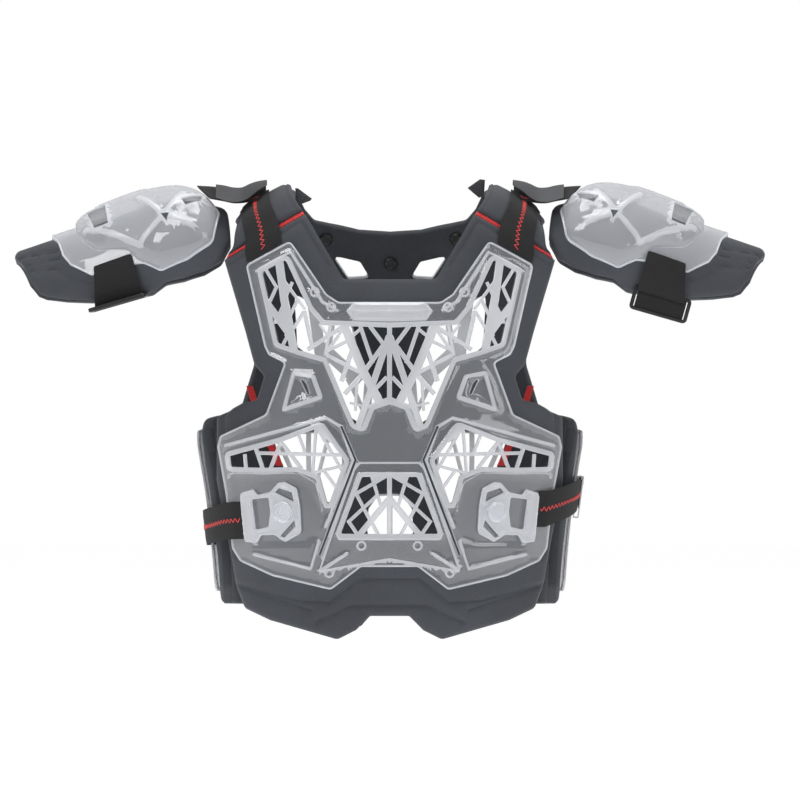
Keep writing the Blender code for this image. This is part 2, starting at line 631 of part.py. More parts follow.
def keptShape(outline, windows, crossings, smallest):
    """The edge loops of what is left of an outline with its windows cut and its bars put back."""
    points, faces = [], []
    for loop in [outline] + windows + crossings:
        faces.append(list(range(len(points), len(points) + len(loop))))
        points.extend(loop)
    windowCount = len(windows)
    flat, _edges, triangles, _v, _e, sources = delaunay_2d_cdt(points, [], faces, 1, 0.12)
    keep, gaps = set(), set()
    for i, ids in enumerate(sources):
        if 0 in ids:
            inWindow = any(1 <= k <= windowCount for k in ids)
            inBar = any(k > windowCount for k in ids)
            (gaps if inWindow and not inBar else keep).add(i)
    owners = {}
    for i, triangle in enumerate(triangles):
        for a, b in zip(triangle, triangle[1:] + triangle[:1]):
            owners.setdefault((min(a, b), max(a, b)), []).append(i)
    linked = [set() for _ in triangles]
    for pair in owners.values():
        for i in pair:
            linked[i].update(j for j in pair if j != i)
    openings = 0
    for group in groups(gaps, [{j for j in near if j in gaps} for near in linked]):
        area = sum(abs((flat[t[1]] - flat[t[0]]).cross(flat[t[2]] - flat[t[0]])) / 2
                   for t in (triangles[i] for i in group))
        if area < smallest:
            keep.update(group)
        else:
            openings += 1
    keep = max(groups(keep, [{j for j in near if j in keep} for near in linked]), key=len)
    follows = {}
    directed = {edge for i in keep for edge in zip(triangles[i], triangles[i][1:] + triangles[i][:1])}
    for a, b in directed:
        if (b, a) not in directed:
            follows.setdefault(a, []).append(b)
    pinched = {a for a, on in follows.items() if len(on) > 1}
    loops = []
    while follows:
        start = min(follows)
        loop = [start]
        while True:
            here = loop[-1]
            back = flat[loop[-2]] - flat[here] if len(loop) > 1 else Vector((1, 0))
            on = min(follows[here], key=lambda k: turnFrom(back, flat[k] - flat[here]))
            follows[here].remove(on)
            if not follows[here]:
                del follows[here]
            if on == start:
                break
            loop.append(on)
        loops.append(openedLoop(loop, flat, pinched))
    return loops, openings


def turnFrom(back, on):
    """Angle from one direction round to another, against the clock."""
    return (math.atan2(on.y, on.x) - math.atan2(back.y, back.x)) % (2 * math.pi)


def openedLoop(loop, flat, pinched):
    """The points of a loop without its straight ones, moved apart where two loops would touch."""
    corners = []
    for i, index in enumerate(loop):
        here = flat[index]
        came = (here - flat[loop[i - 1]]).normalized()
        goes = (flat[loop[(i + 1) % len(loop)]] - here).normalized()
        if index in pinched:
            away = Vector((came.y + goes.y, -came.x - goes.x))
            corners.append(here + away.normalized() * 0.5)
        elif came.angle(goes) > 0.03:
            corners.append(here)
    return corners


def plate(name, place, outline, low, high, material, windows=(), crossings=(), guides=(),
          smallest=16.0, seenLift=0.0, side=1, tolerance=FACET_TOLERANCE):
    """A sheet laid on a surface between two heights, each a number or a function of the spot."""
    known = {}

    def placed(spot):
        key = (round(spot.x, 3), round(spot.y, 3))
        if key not in known:
            known[key] = place(spot, seenLift)
        return known[key]

    guides = [divided(loop, placed, tolerance) for loop in guides]
    flat, triangles, openings = cutSheet(outline, list(windows), list(crossings), guides, placed,
                                         smallest, tolerance)
    mesh = bmesh.new()
    used = sorted({i for triangle in triangles for i in triangle})
    under, over = {}, {}
    for i in used:
        base, normal = placed(flat[i])
        for store, height in ((under, low), (over, high)):
            lift = height(flat[i]) if callable(height) else height
            point = base + normal * lift
            store[i] = mesh.verts.new((point.x * side, point.y, point.z))
    edgeUse = {}
    for a, b, c in triangles:
        mesh.faces.new((over[a], over[b], over[c]))
        mesh.faces.new((under[c], under[b], under[a]))
        for edge in ((a, b), (b, c), (c, a)):
            edgeUse[edge] = edgeUse.get(edge, 0) + 1
    for a, b in [edge for edge in edgeUse if (edge[1], edge[0]) not in edgeUse]:
        mesh.faces.new((over[b], over[a], under[a]))
        mesh.faces.new((over[b], under[a], under[b]))
    print(name, len(mesh.faces), "faces", openings, "openings")
    return addObject(name, mesh, material)


def band(name, rows, wall, material, side=1):
    """A flat strap through rows of points, each row running across it."""
    mesh = bmesh.new()
    rings = []
    last = len(rows[0]) - 1
    for i, row in enumerate(rows):
        before, after = rows[max(i - 1, 0)], rows[min(i + 1, len(rows) - 1)]
        lower, upper = [], []
        for k, point in enumerate(row):
            along = after[k] - before[k]
            normal = along.cross(row[min(k + 1, last)] - row[max(k - 1, 0)]).normalized() * wall / 2
            lower.append(point - normal)
            upper.append(point + normal)
        rings.append([mesh.verts.new((p.x * side, p.y, p.z)) for p in lower + upper[::-1]])
    count = len(rings[0])
    for first, second in zip(rings, rings[1:]):
        for k in range(count):
            n = (k + 1) % count
            mesh.faces.new((first[k], first[n], second[n]))
            mesh.faces.new((first[k], second[n], second[k]))
    for ring in (rings[0][::-1], rings[-1]):
        for k in range(last):
            mesh.faces.new((ring[k], ring[k + 1], ring[count - 2 - k], ring[count - 1 - k]))
    print(name, len(mesh.faces), "faces")
    return addObject(name, mesh, material)


def lathe(name, profile, centre, axis, count, material, flute=0.0):
    """A turned solid: rows of radius and height along the axis, closed at both ends."""
    mesh = bmesh.new()
    sideways = axis.orthogonal().normalized()
    other = axis.cross(sideways)
    rings = []
    for radius, height in profile:
        ring = []
        for k in range(count):
            angle = 2 * math.pi * k / count
            reach = radius * (1 - flute * (k % 2))
            ring.append(mesh.verts.new(centre + axis * height + sideways * reach * math.cos(angle)
                                       + other * reach * math.sin(angle)))
        rings.append(ring)
    for first, second in zip(rings, rings[1:]):
        for k in range(count):
            n = (k + 1) % count
            mesh.faces.new((first[k], first[n], second[n], second[k]))
    mesh.faces.new(rings[0][::-1])
    mesh.faces.new(rings[-1])
    made = addObject(name, mesh, material)
    made.data.shade_smooth()
    made.data.set_sharp_from_angle(angle=math.radians(40))
    return made


def frameRing(name, centre, wide, tall, width, height, barWidth, barDepth, material):
    """A rectangular ring: its plane is spanned by the directions wide and tall."""
    mesh = bmesh.new()
    thick = wide.cross(tall).normalized() * barDepth / 2
    rings = []
    for grow, level in ((0, -1), (0, 1), (-barWidth, 1), (-barWidth, -1)):
        x, z = width / 2 + grow, height / 2 + grow
        corners = [(-x, -z), (x, -z), (x, z), (-x, z)]
        rings.append([mesh.verts.new(centre + wide * a + tall * b + thick * level) for a, b in corners])
    for i in range(4):
        first, second = rings[i], rings[(i + 1) % 4]
        for k in range(4):
            n = (k + 1) % 4
            mesh.faces.new((first[k], first[n], second[n], second[k]))
    return addObject(name, mesh, material)


# Heights of the pads and plates

def cushion(loops, full, edge, reach):
    """Full height inside, less at the edges of the loops."""
    def height(spot):
        near = min(nearest(spot, loop) for loop in loops)
        t = min(near / reach, 1.0)
        return edge + (full - edge) * math.sqrt(max(1 - (1 - t) ** 2, 0))
    return height


def raised(base, frames, mounds):
    """A flat top that rises towards the frames' loops and over the mounds: loop, height, ramp."""
    def height(spot):
        most = 0.0
        for loop in frames:
            near = nearest(spot, loop)
            if near < 0.05 or not holds(loop, spot):
                most = max(most, RIM_HEIGHT * max(0.0, 1 - near / RIM_WIDTH))
            else:
                most = RIM_HEIGHT
        for loop, rise, ramp in mounds:
            if holds(loop, spot):
                most = max(most, rise * min(nearest(spot, loop) / ramp, 1.0))
        return base + most
    return height


def main():
    for old in list(bpy.data.objects):
        bpy.data.objects.remove(old, do_unlink=True)
    foam = finish("foam", (0.045, 0.052, 0.063), 0.85)
    clear = finish("clear_plastic", (0.93, 0.94, 0.95), 0.08, 1.0)
    webbing = finish("black_webbing", (0.012, 0.012, 0.013), 0.9)
    redTape = finish("red_tape", (0.62, 0.03, 0.03), 0.7)
    greyFlap = finish("grey_flap", (0.06, 0.063, 0.07), 0.5)
    blackPlastic = finish("black_plastic", (0.01, 0.01, 0.011), 0.35)
    buildFront(foam, clear)
    buildBack(foam, clear, redTape, blackPlastic)
    for side, word in ((-1, "left"), (1, "right")):
        buildShoulder(side, word, foam, webbing, redTape, greyFlap)
        buildWaist(side, word, webbing, clear)
        buildArm(side, word, foam, clear, webbing, blackPlastic)


def frontOpenings():
    upper = rounded(mirrored(UPPER_WINDOW), 1)
    sides = bothSides([rounded(SIDE_WINDOW, 1)])
    lower = rounded(mirrored(LOWER_WINDOW), 1)
    return upper, sides, lower


def buildFront(foam, clear):
    upper, sides, lower = frontOpenings()
    padLoop = rounded(mirrored(PAD_OUTLINE), 3)
    padWindows = [inset(loop, -1.0) for loop in [upper, lower] + sides]
    height = cushion([padLoop] + padWindows, PAD_THICKNESS, PAD_THICKNESS * 0.55, PAD_ROUNDING)
    plate("front_pad", onFront, padLoop, 0.0, height, foam, padWindows,
          guides=[inset(padLoop, PAD_ROUNDING)], seenLift=PAD_SEEN, tolerance=PAD_TOLERANCE)
    shellLoop = rounded(mirrored(SHELL_OUTLINE), 3)
    slits = bothSides([slit(FLEX_SLIT), rounded(SCOOP_SLOT)])
    scoops = bothSides([rounded(SCOOP, 2)])
    centreBar = rounded(mirrored(CENTRE_BAR), 1)
    panel = rounded(mirrored(LOWER_PANEL), 1)
    top = FRONT_SHELL_LOW + SHELL_WALL
    frames = [upper, lower] + sides
    mounds = [(centreBar, RIM_HEIGHT * 2, 3.0), (panel, RIM_HEIGHT * 0.6, 2.0)]
    mounds += [(loop, RIM_HEIGHT * 1.6, 4.0) for loop in scoops]
    guides = [inset(loop, -RIM_WIDTH) for loop in frames]
    guides += [loop for loop, _rise, _ramp in mounds] + [inset(loop, ramp) for loop, _rise, ramp in mounds]
    plate("front_shell", onFront, shellLoop, FRONT_SHELL_LOW, raised(top, frames, mounds), clear,
          [upper, lower] + sides + slits, bars(UPPER_BARS + SIDE_BARS + LOWER_BARS), guides,
          seenLift=top)


def buildBack(foam, clear, redTape, blackPlastic):
    neck = bothSides([rounded(BACK_NECK_WINDOW, 1)])
    upper = bothSides([rounded(BACK_UPPER_WINDOW, 1)])
    sides = bothSides([rounded(BACK_SIDE_WINDOW, 1)])
    lower = [rounded(mirrored(BACK_LOWER_WINDOW), 1)]
    windows = neck + upper + sides + lower
    padLoop = rounded(mirrored(BACK_OUTLINE), 3)
    padWindows = [inset(loop, -1.0) for loop in windows]
    height = cushion([padLoop] + padWindows, PAD_THICKNESS, PAD_THICKNESS * 0.55, PAD_ROUNDING)
    studs = {word: studPlace(*spot) for word, spot in NECK_STUDS.items()}
    guides = [inset(padLoop, PAD_ROUNDING)]
    for around, down in studs.values():
        guides.append([Vector((around + 9 * math.cos(a), down + 9 * math.sin(a)))
                       for a in (math.radians(45 * k) for k in range(8))])
    plate("back_pad", onRing, padLoop, 0.0, height, foam, padWindows, guides=guides,
          tolerance=PAD_TOLERANCE)
    shellLoop = rounded(mirrored(BACK_SHELL_OUTLINE), 3)
    plate("back_shell", onRing, shellLoop, FRONT_SHELL_LOW, FRONT_SHELL_LOW + SHELL_WALL, clear,
          windows, bars(BACK_UPPER_BARS + BACK_SIDE_BARS + BACK_LOWER_BARS))
    for word, spot in studs.items():
        base, normal = onRing(spot)
        profile = [(STUD_RADIUS, 0), (STUD_RADIUS, STUD_HEIGHT * 0.35),
                   (STUD_RADIUS * 0.8, STUD_HEIGHT * 0.8), (STUD_RADIUS * 0.35, STUD_HEIGHT)]
        lathe("neck_stud_" + word, profile, base - normal * 2 * SEAM_GAP, -normal, 12, blackPlastic)
    for side, word in ((-1, "left"), (1, "right")):
        rows = []
        for around, down in SIDE_TAPE:
            pair = []
            for edge in (-0.5, 0.5):
                base, normal = onRing((around + edge * SIDE_TAPE_WIDTH, down))
                pair.append(base - normal * (TAPE_WALL / 2 + PAD_TOLERANCE * 0.9))
            rows.append(pair)
        band("side_tape_" + word, rows, TAPE_WALL, redTape, side)


def studPlace(across, down):
    """Steps round and down of the place inside the back where a spot is seen from the front."""
    around = across
    for _ in range(8):
        base = onRing((around, down))[0]
        around += (asSeen(across, down, base.y)[0] - base.x) / ACROSS * 0.8
    return around, down


def buildShoulder(side, word, foam, webbing, redTape, greyFlap):
    seam = SEAM_GAP / ACROSS
    tapeStart = 8 * seam
    start = tapeStart + TAPE_BAND + 2 * seam
    tapeLoop = rounded([(0, tapeStart, 0), (BRIDGE_WIDTH, tapeStart, 0),
                        (BRIDGE_WIDTH, tapeStart + TAPE_BAND, 0), (0, tapeStart + TAPE_BAND, 0)])
    plate("shoulder_tape_" + word, onBridge, tapeLoop, PAD_THICKNESS * 0.25, PAD_THICKNESS * 0.62,
          redTape, side=side, tolerance=SEAM_GAP)
    padLoop = rounded([(0, start + seam, 3), (BRIDGE_WIDTH, start + seam, 3),
                       (BRIDGE_WIDTH, BRIDGE_LENGTH - 1, 3), (0, BRIDGE_LENGTH - 1, 3)])
    plate("shoulder_bridge_" + word, onBridge, padLoop, 0.0,
          cushion([padLoop], PAD_THICKNESS, PAD_THICKNESS * 0.55, PAD_ROUNDING), foam,
          guides=[inset(padLoop, PAD_ROUNDING)], side=side, tolerance=PAD_TOLERANCE)
    lift = PAD_THICKNESS + STRAP_GAP + WEB_WALL / 2
    rows = []
    first, last = SHOULDER_STRAP[0][0], SHOULDER_STRAP[-1][0]
    for k in range(SHOULDER_STRAP_ROWS):
        along = first + (last - first) * k / (SHOULDER_STRAP_ROWS - 1)
        inner, outer = smoothRow(SHOULDER_STRAP, along)
        row = []
        for share in (inner, (inner + outer) / 2, outer):
            base, normal = onBridge((share * BRIDGE_WIDTH, along))
            row.append(base + normal * lift)
        rows.append(row)
    band("shoulder_strap_" + word, rows, WEB_WALL, webbing, side)
    for name, table, wall, material in (("link_strap_", LINK_ROWS, WEB_WALL, webbing),
                                        ("link_flap_", FLAP_ROWS, FLAP_WALL, greyFlap)):
        rows = []
        for row in table:
            edges = []
            for across, share, down in (row[:3], row[3:]):
                x, z = asSeen(across, down, share * BODY_HALF_DEPTH)
                edges.append(Vector((x, share * BODY_HALF_DEPTH, z)))
            rows.append(edges)
        if table is LINK_ROWS:
            rows.append([b + (b - a).normalized() * LINK_REACH[side] * ACROSS for a, b in zip(*rows[-2:])])
        band(name + word, rows, wall, material, side)
    tab = turned([Vector(spot) for spot in COLLAR_TABS[side]])
    tabDepth = 0.25 * BODY_HALF_DEPTH

    def onTab(spot, _lift):
        x, z = asSeen(spot[0], spot[1], tabDepth)
        return Vector((x, tabDepth, z)), Vector((0, -1, 0))
    plate("collar_tab_" + word, onTab, tab, 0.0, FLAP_WALL, greyFlap, side=side)


def ringAt(across, down):
    """Steps round the body to the place on its front half that is seen at a spot."""
    low, high = ARCS[len(ARCS) // 2][0], ARCS[-1][0]
    for _ in range(30):
        middle = (low + high) / 2
        base = onRing((middle, down))[0]
        if base.x > asSeen(across, down, base.y)[0]:
            low = middle
        else:
            high = middle
    return low


def buildWaist(side, word, webbing, clear):
    rows = []
    table = WAIST_LEFT if side < 0 else WAIST_RIGHT
    fit = ringAt(WAIST_END[side], sum(table[-1][1:]) / 2) / table[-1][0]
    table = [(around * fit, *edges) for around, *edges in table]
    first, last = table[0][0], table[-1][0]
    for k in range(WAIST_ROWS):
        around = first + (last - first) * k / (WAIST_ROWS - 1)
        lift = STRAP_LIFT if k > 2 else STACK + SEAM_GAP + WEB_WALL / 2 + k * 0.0011
        edges = []
        for down in smoothRow(table, around):
            base, normal = onRing((around, down), lift)
            edges.append(base + normal * lift)
        rows.append(edges)
    rows.append([buckleEdge(down) for down in table[-1][1:]])
    band("waist_strap_" + word, rows, WEB_WALL, webbing, side)
    if side > 0:
        addSlider(table, SLIDER_AT * fit, webbing, clear)
    low = BUCKLE_LOW
    loop = rounded(BUCKLE_OUTLINE, 2)
    openings = [rounded(opening, 1) for opening in BUCKLE_OPENINGS]
    plate("waist_buckle_" + word, onFront, loop, low, low + BUCKLE_WALL, clear, openings,
          seenLift=low + BUCKLE_WALL, side=side, tolerance=SEAM_GAP / 2)
    base, normal = onFront(KNOB_AT, low + BUCKLE_WALL + KNOB_HEIGHT)
    centre = base + normal * (low + BUCKLE_WALL + SEAM_GAP)
    profile = [(KNOB_RADIUS, 0), (KNOB_RADIUS, KNOB_HEIGHT * 0.75), (KNOB_RADIUS * 0.8, KNOB_HEIGHT)]
    centre.x *= side
    normal.x *= side
    lathe("buckle_knob_" + word, profile, centre, normal, 24, clear, flute=0.07)


def buckleEdge(down):
    """Where a waist strap meets the outer edge of its buckle."""
    (top, high, _a), (foot, low, _b) = BUCKLE_OUTLINE[0], BUCKLE_OUTLINE[-1]
    across = top + (foot - top) * min(max((down - high) / (low - high), 0), 1) + 2 * SEAM_GAP / ACROSS
    base, normal = onFront((across, down), BUCKLE_LOW + BUCKLE_WALL)
    return base + normal * (BUCKLE_LOW + BUCKLE_WALL / 2)


def addSlider(table, place, webbing, clear):
    """The slider on the right waist strap and the tail of webbing that comes out of it."""
    top, foot = smoothRow(table, place)
    base, out = onRing((place, (top + foot) / 2))
    tall = onRing((place, top), STRAP_LIFT)[0] - onRing((place, foot), STRAP_LIFT)[0]
    wide = (tall - out * tall.dot(out)).normalized()
    length = tall.length + 2 * (SLIDER_BAR + 8 * SEAM_GAP)
    height = 2 * SLIDER_BAR + WEB_WALL + 4 * SEAM_GAP
    frameRing("strap_slider_right", base + out * STRAP_LIFT, wide, out, length, height, SLIDER_BAR,
              SLIDER_LENGTH, clear)
    lift = STRAP_LIFT + WEB_WALL + 1.3 * SEAM_GAP
    tail = []
    for k in range(3):
        around = place - SLIDER_LENGTH / ACROSS / 2 - 1.5 - 8 * k
        tail.append([])
        for down in smoothRow(table, around):
            base, normal = onRing((around, down), lift)
            tail[-1].append(base + normal * lift)
    band("strap_end_right", tail, WEB_WALL, webbing)


def armLoop(front, inner, steps=2):
    """A loop in steps across and round: the lower front edge, the inner end, and their mirror image."""
    half = [(across, armRound(across, down), radius) for across, down, radius in front] + inner
    back = [(across, -around, radius) for across, around, radius in half[::-1] if around]
    return rounded(half + back, steps)


def buildArm(side, word, foam, clear, webbing, blackPlastic):
    rise = ARM_LIFT_RIGHT * DOWN if side > 0 else 0.0

    def onThisArm(spot, _lift=0.0):
        base, normal = onArm(spot)
        return base + Vector((0, 0, rise)), normal

    padLoop = armLoop(ARM_PAD_FRONT, ARM_PAD_INNER)
    plate("arm_pad_" + word, onThisArm, padLoop, -ARM_PAD_THICKNESS,
          cushion([padLoop], 0.0, -ARM_PAD_THICKNESS * 0.45, PAD_ROUNDING), foam,
          guides=[inset(padLoop, PAD_ROUNDING)], side=side, tolerance=PAD_TOLERANCE)
    shellLoop = armLoop(ARM_SHELL_FRONT, ARM_SHELL_INNER)
    domeLoop = armLoop(ARM_DOME_FRONT, ARM_DOME_INNER)
    windows = [turned([Vector((a, armRound(a, d))) for a, d, _r in loop]) for loop in ARM_WINDOWS]

    def bulge(spot, wall=0.0):
        near = nearest(spot, domeLoop) if holds(domeLoop, spot) else 0.0
        t = min(near / 26, 1.0)
        return ARM_GAP + wall + DOME_HEIGHT * math.sqrt(max(1 - (1 - t) ** 2, 0))

    plate("arm_shell_" + word, onThisArm, shellLoop, bulge, lambda spot: bulge(spot, ARM_SHELL_WALL),
          clear, windows, guides=[domeLoop, inset(domeLoop, 7)], side=side)
    outer, slotInner, footInner, slot, foot = ARM_STRAP
    lift = ARM_GAP + ARM_SHELL_WALL + SEAM_GAP + WEB_WALL / 2
    around = [slot + (foot - slot) * i / 6 for i in range(7)]
    rows = []
    for turn in around + [-a for a in around[::-1]]:
        inner = slotInner + (footInner - slotInner) * min((abs(turn) - slot) / (foot - slot), 1)
        row = []
        for across in (outer, (outer + inner) / 2, inner):
            base, normal = onThisArm((across, turn))
            row.append(base + normal * lift)
        rows.append(row)
    band("arm_strap_" + word, rows, WEB_WALL, webbing, side)
    hangs = side > 0
    centre = rows[6][1] + Vector((0, 0.004, -0.0082) if hangs else (0, -0.004, -0.004))
    wide = (rows[6][0] - rows[6][-1]).normalized()
    tall = Vector((0, 0, 1)) if hangs else Vector((0, 1, 0))
    tall = (tall - wide * tall.dot(wide)).normalized()
    width = (rows[6][0] - rows[6][-1]).length + 2 * (ARM_BUCKLE_BAR + 5 * SEAM_GAP)
    centre.x *= side
    wide.x *= side
    tall.x *= side
    frameRing("arm_buckle_" + word, centre, wide, tall, width, ARM_BUCKLE_HEIGHT, ARM_BUCKLE_BAR,
              ARM_BUCKLE_BAR, blackPlastic)


main()
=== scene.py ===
# Chest protector: clear plates over foam pads, straps and arm guards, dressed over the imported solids.
import math

import bmesh
import bpy
import numpy as np
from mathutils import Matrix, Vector
from mathutils.geometry import delaunay_2d_cdt
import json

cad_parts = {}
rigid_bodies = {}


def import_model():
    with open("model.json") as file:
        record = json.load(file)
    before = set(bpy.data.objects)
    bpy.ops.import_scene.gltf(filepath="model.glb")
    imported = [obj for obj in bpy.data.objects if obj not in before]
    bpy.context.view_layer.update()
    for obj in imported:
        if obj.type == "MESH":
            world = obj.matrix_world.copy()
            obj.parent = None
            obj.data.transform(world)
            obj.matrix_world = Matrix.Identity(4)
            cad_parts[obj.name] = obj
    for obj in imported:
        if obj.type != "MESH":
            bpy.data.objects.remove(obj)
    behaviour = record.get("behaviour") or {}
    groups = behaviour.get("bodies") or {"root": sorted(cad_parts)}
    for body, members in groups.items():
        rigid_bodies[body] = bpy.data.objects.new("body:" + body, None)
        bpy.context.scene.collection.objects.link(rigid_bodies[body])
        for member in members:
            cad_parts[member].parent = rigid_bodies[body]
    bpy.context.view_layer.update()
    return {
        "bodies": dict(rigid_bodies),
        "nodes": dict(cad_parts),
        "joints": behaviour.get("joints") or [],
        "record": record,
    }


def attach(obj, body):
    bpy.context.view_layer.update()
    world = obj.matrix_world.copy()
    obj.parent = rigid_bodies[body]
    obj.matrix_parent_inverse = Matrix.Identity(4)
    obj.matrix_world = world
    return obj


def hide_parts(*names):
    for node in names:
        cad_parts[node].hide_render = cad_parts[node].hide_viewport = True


for old in list(bpy.data.objects):
    bpy.data.objects.remove(old, do_unlink=True)
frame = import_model()

guard = {
    "chestWidth": 0.400, "chestDepth": 0.276, "frontLength": 0.450,   # outside sizes, metres
    "padThickness": 0.0125, "armPadThickness": 0.011,
    "plateWall": 0.0026, "plateGap": 0.0023, "armGap": 0.0018,        # clear sheet and its gap to the pad
    "webWall": 0.0018, "seam": 0.0004,
    "eyeDistance": 3.36, "eyeHeight": -0.21, "drawingPlane": -0.14,   # where the drawings are seen from
    "bodyPower": 2.3,                                                 # squareness of the body's sections
}
step = guard["chestWidth"] / 400       # the drawings are in steps: 400 across the chest, 450 down
stack = guard["padThickness"] + guard["plateGap"] + guard["plateWall"]
halfWidth = guard["chestWidth"] / 2 - stack
halfDepth = guard["chestDepth"] / 2 - stack
plateLow = guard["padThickness"] + guard["plateGap"]
padSeen = guard["padThickness"] * 0.6

# Level sections of the body: share of the length down, half width, front and back half depth.
bodyRows = [
    (-0.10, 1.20, 0.50, 0.50), (0.00, 1.17, 0.61, 0.63), (0.055, 1.15, 0.69, 0.73),
    (0.10, 1.12, 0.765, 0.81), (0.25, 1.05, 0.87, 0.95), (0.45, 1.01, 0.98, 1.00),
    (0.56, 1.00, 1.00, 0.98), (0.68, 0.955, 1.00, 0.93), (0.80, 0.92, 0.98, 0.88),
    (0.90, 0.90, 0.95, 0.84), (1.06, 0.88, 0.88, 0.80),
]


# Curves and surfaces

def curve(rows, at):
    # the values of a table on a smooth curve through its rows
    rows = np.asarray(rows, float)
    at = np.atleast_1d(np.asarray(at, float))
    last = len(rows) - 1
    k = np.clip(np.searchsorted(rows[:, 0], at, side="right") - 1, 0, last - 1)
    a, b = rows[k], rows[k + 1]
    before, after = rows[np.maximum(k - 1, 0)], rows[np.minimum(k + 2, last)]
    span = (b - a)[:, :1]
    t = np.clip((at - a[:, 0])[:, None] / span, 0, 1)
    left = (b - before)[:, 1:] / (b - before)[:, :1] * span
    right = (after - a)[:, 1:] / (after - a)[:, :1] * span
    return (a[:, 1:] * (2*t**3 - 3*t**2 + 1) + b[:, 1:] * (3*t**2 - 2*t**3)
            + left * (t**3 - 2*t**2 + t) + right * (t**3 - t**2))


def seen(across, down, depth):
    grow = 1 + (depth - guard["drawingPlane"]) / guard["eyeDistance"]
    return across * step * grow, guard["eyeHeight"] + (-down * step - guard["eyeHeight"]) * grow


def bodySize(z):
    width, front, back = curve(bodyRows, -z / guard["frontLength"]).T
    return width * halfWidth, front * halfDepth, back * halfDepth


def bodyLevel(p):
    width, front, back = bodySize(p[:, 2])
    depth = np.where(p[:, 1] < 0, front, back)
    return np.abs(p[:, 0] / width) ** guard["bodyPower"] + np.abs(p[:, 1] / depth) ** guard["bodyPower"]


def unit(v):
    return v / np.maximum(np.linalg.norm(v, axis=-1, keepdims=True), 1e-12)


def bodyNormal(p, away=1e-4):
    slopes = [bodyLevel(p + away * axis) - bodyLevel(p - away * axis) for axis in np.eye(3)]
    return unit(np.stack(slopes, 1))


def onFront(spots, lift=0.0):
    # the point of the body's front that is seen at each spot, with its normal
    spots = np.atleast_2d(np.asarray(spots, float))
    x, z = seen(spots[:, 0], spots[:, 1], guard["drawingPlane"])
    power = guard["bodyPower"]
    for _ in range(6):
        width, front, _back = bodySize(z)
        share = np.minimum(np.abs(x) / width, 0.985)
        base = np.stack([x, -front * (1 - share ** power) ** (1 / power), z], 1)
        normal = bodyNormal(base)
        shown = base + normal * lift
        seenX, seenZ = seen(spots[:, 0], spots[:, 1], shown[:, 1])
        x = x + (seenX - shown[:, 0]) * 0.8
        z = z + (seenZ - shown[:, 2]) * 0.8
    return base, normal


def ringCorner(angle, width, depth):
    across, along = np.sin(angle), np.cos(angle)
    power = 2 / guard["bodyPower"]
    return (np.sign(across) * np.abs(across) ** power * width,
            np.sign(along) * np.abs(along) ** power * depth)


ringAngles = np.radians(np.arange(0, 361) / 2)
ringX, ringY = ringCorner(ringAngles, halfWidth, halfDepth)
ringSteps = np.concatenate([[0], np.cumsum(np.hypot(np.diff(ringX), np.diff(ringY)))]) / step


def onRing(spots, lift=0.0):
    # steps round the body from the middle of the back, and steps down
    spots = np.atleast_2d(np.asarray(spots, float))
    angle = np.sign(spots[:, 0]) * np.interp(np.abs(spots[:, 0]), ringSteps, ringAngles)
    z = -spots[:, 1] * step
    for _ in range(4):
        width, front, back = bodySize(z)
        x, y = ringCorner(angle, width, np.where(np.cos(angle) > 0, back, front))
        base = np.stack([x, y, z], 1)
        normal = bodyNormal(base)
        z = z + seen(0, spots[:, 1], (base + normal * lift)[:, 1])[1] - (base + normal * lift)[:, 2]
    return base, normal


# Flat drawing: loops are rows of across, down

def turned(loop):
    x, y = loop[:, 0], loop[:, 1]
    area = np.sum(x * np.roll(y, -1) - np.roll(x, -1) * y)
    return loop if area > 0 else loop[::-1]


def rounded(corners, steps=6):
    loop = []
    for i, (across, down, radius) in enumerate(corners):
        here = Vector((across, down))
        if not radius:
            loop.append(here)
            continue
        back = Vector(corners[i - 1][:2]) - here
        on = Vector(corners[(i + 1) % len(corners)][:2]) - here
        cut = radius / math.tan(max(back.angle(on) / 2, 0.2))
        start = here + back.normalized() * min(cut, 0.45 * back.length)
        end = here + on.normalized() * min(cut, 0.45 * on.length)
        for k in range(steps + 1):
            t = k / steps
            loop.append(start * (1 - t)**2 + here * (2*t*(1 - t)) + end * t**2)
    return turned(np.array([tuple(p) for p in loop]))


def mirrored(half):
    return [(-a, d, r) for a, d, r in half if a > 0][::-1] + list(half)


def bothSides(loops):
    return list(loops) + [turned(loop * (-1, 1)) for loop in loops]


def inset(loop, distance):
    came = unit(loop - np.roll(loop, 1, 0))
    goes = np.roll(came, -1, 0)
    left = np.stack([-came[:, 1], came[:, 0]], 1)
    middle = unit(left + np.stack([-goes[:, 1], goes[:, 0]], 1))
    reach = distance / np.maximum(np.sum(middle * left, 1), 0.6)
    return loop + middle * reach[:, None]


def divided(loop, longest, closed=True):
    made = []
    ends = np.roll(loop, -1, 0) if closed else loop[1:]
    for a, b in zip(loop, ends):
        pieces = max(int(math.ceil(np.linalg.norm(b - a) / longest)), 1)
        made.extend(a + (b - a) * k / pieces for k in range(pieces))
    if not closed:
        made.append(loop[-1])
    return np.array(made)


def edgesOf(loops, closed=True):
    ends = [(loop, np.roll(loop, -1, 0)) if closed else (loop[:-1], loop[1:]) for loop in loops]
    return np.concatenate([a for a, _b in ends]), np.concatenate([b for _a, b in ends])


def distanceTo(loops, spots, closed=True):
    best = np.full(len(spots), 1e9)
    for a, b in zip(*edgesOf(loops, closed)):
        edge = b - a
        t = np.clip((spots - a) @ edge / max(edge @ edge, 1e-9), 0, 1)
        best = np.minimum(best, np.hypot(*(spots - a - t[:, None] * edge).T))
    return best


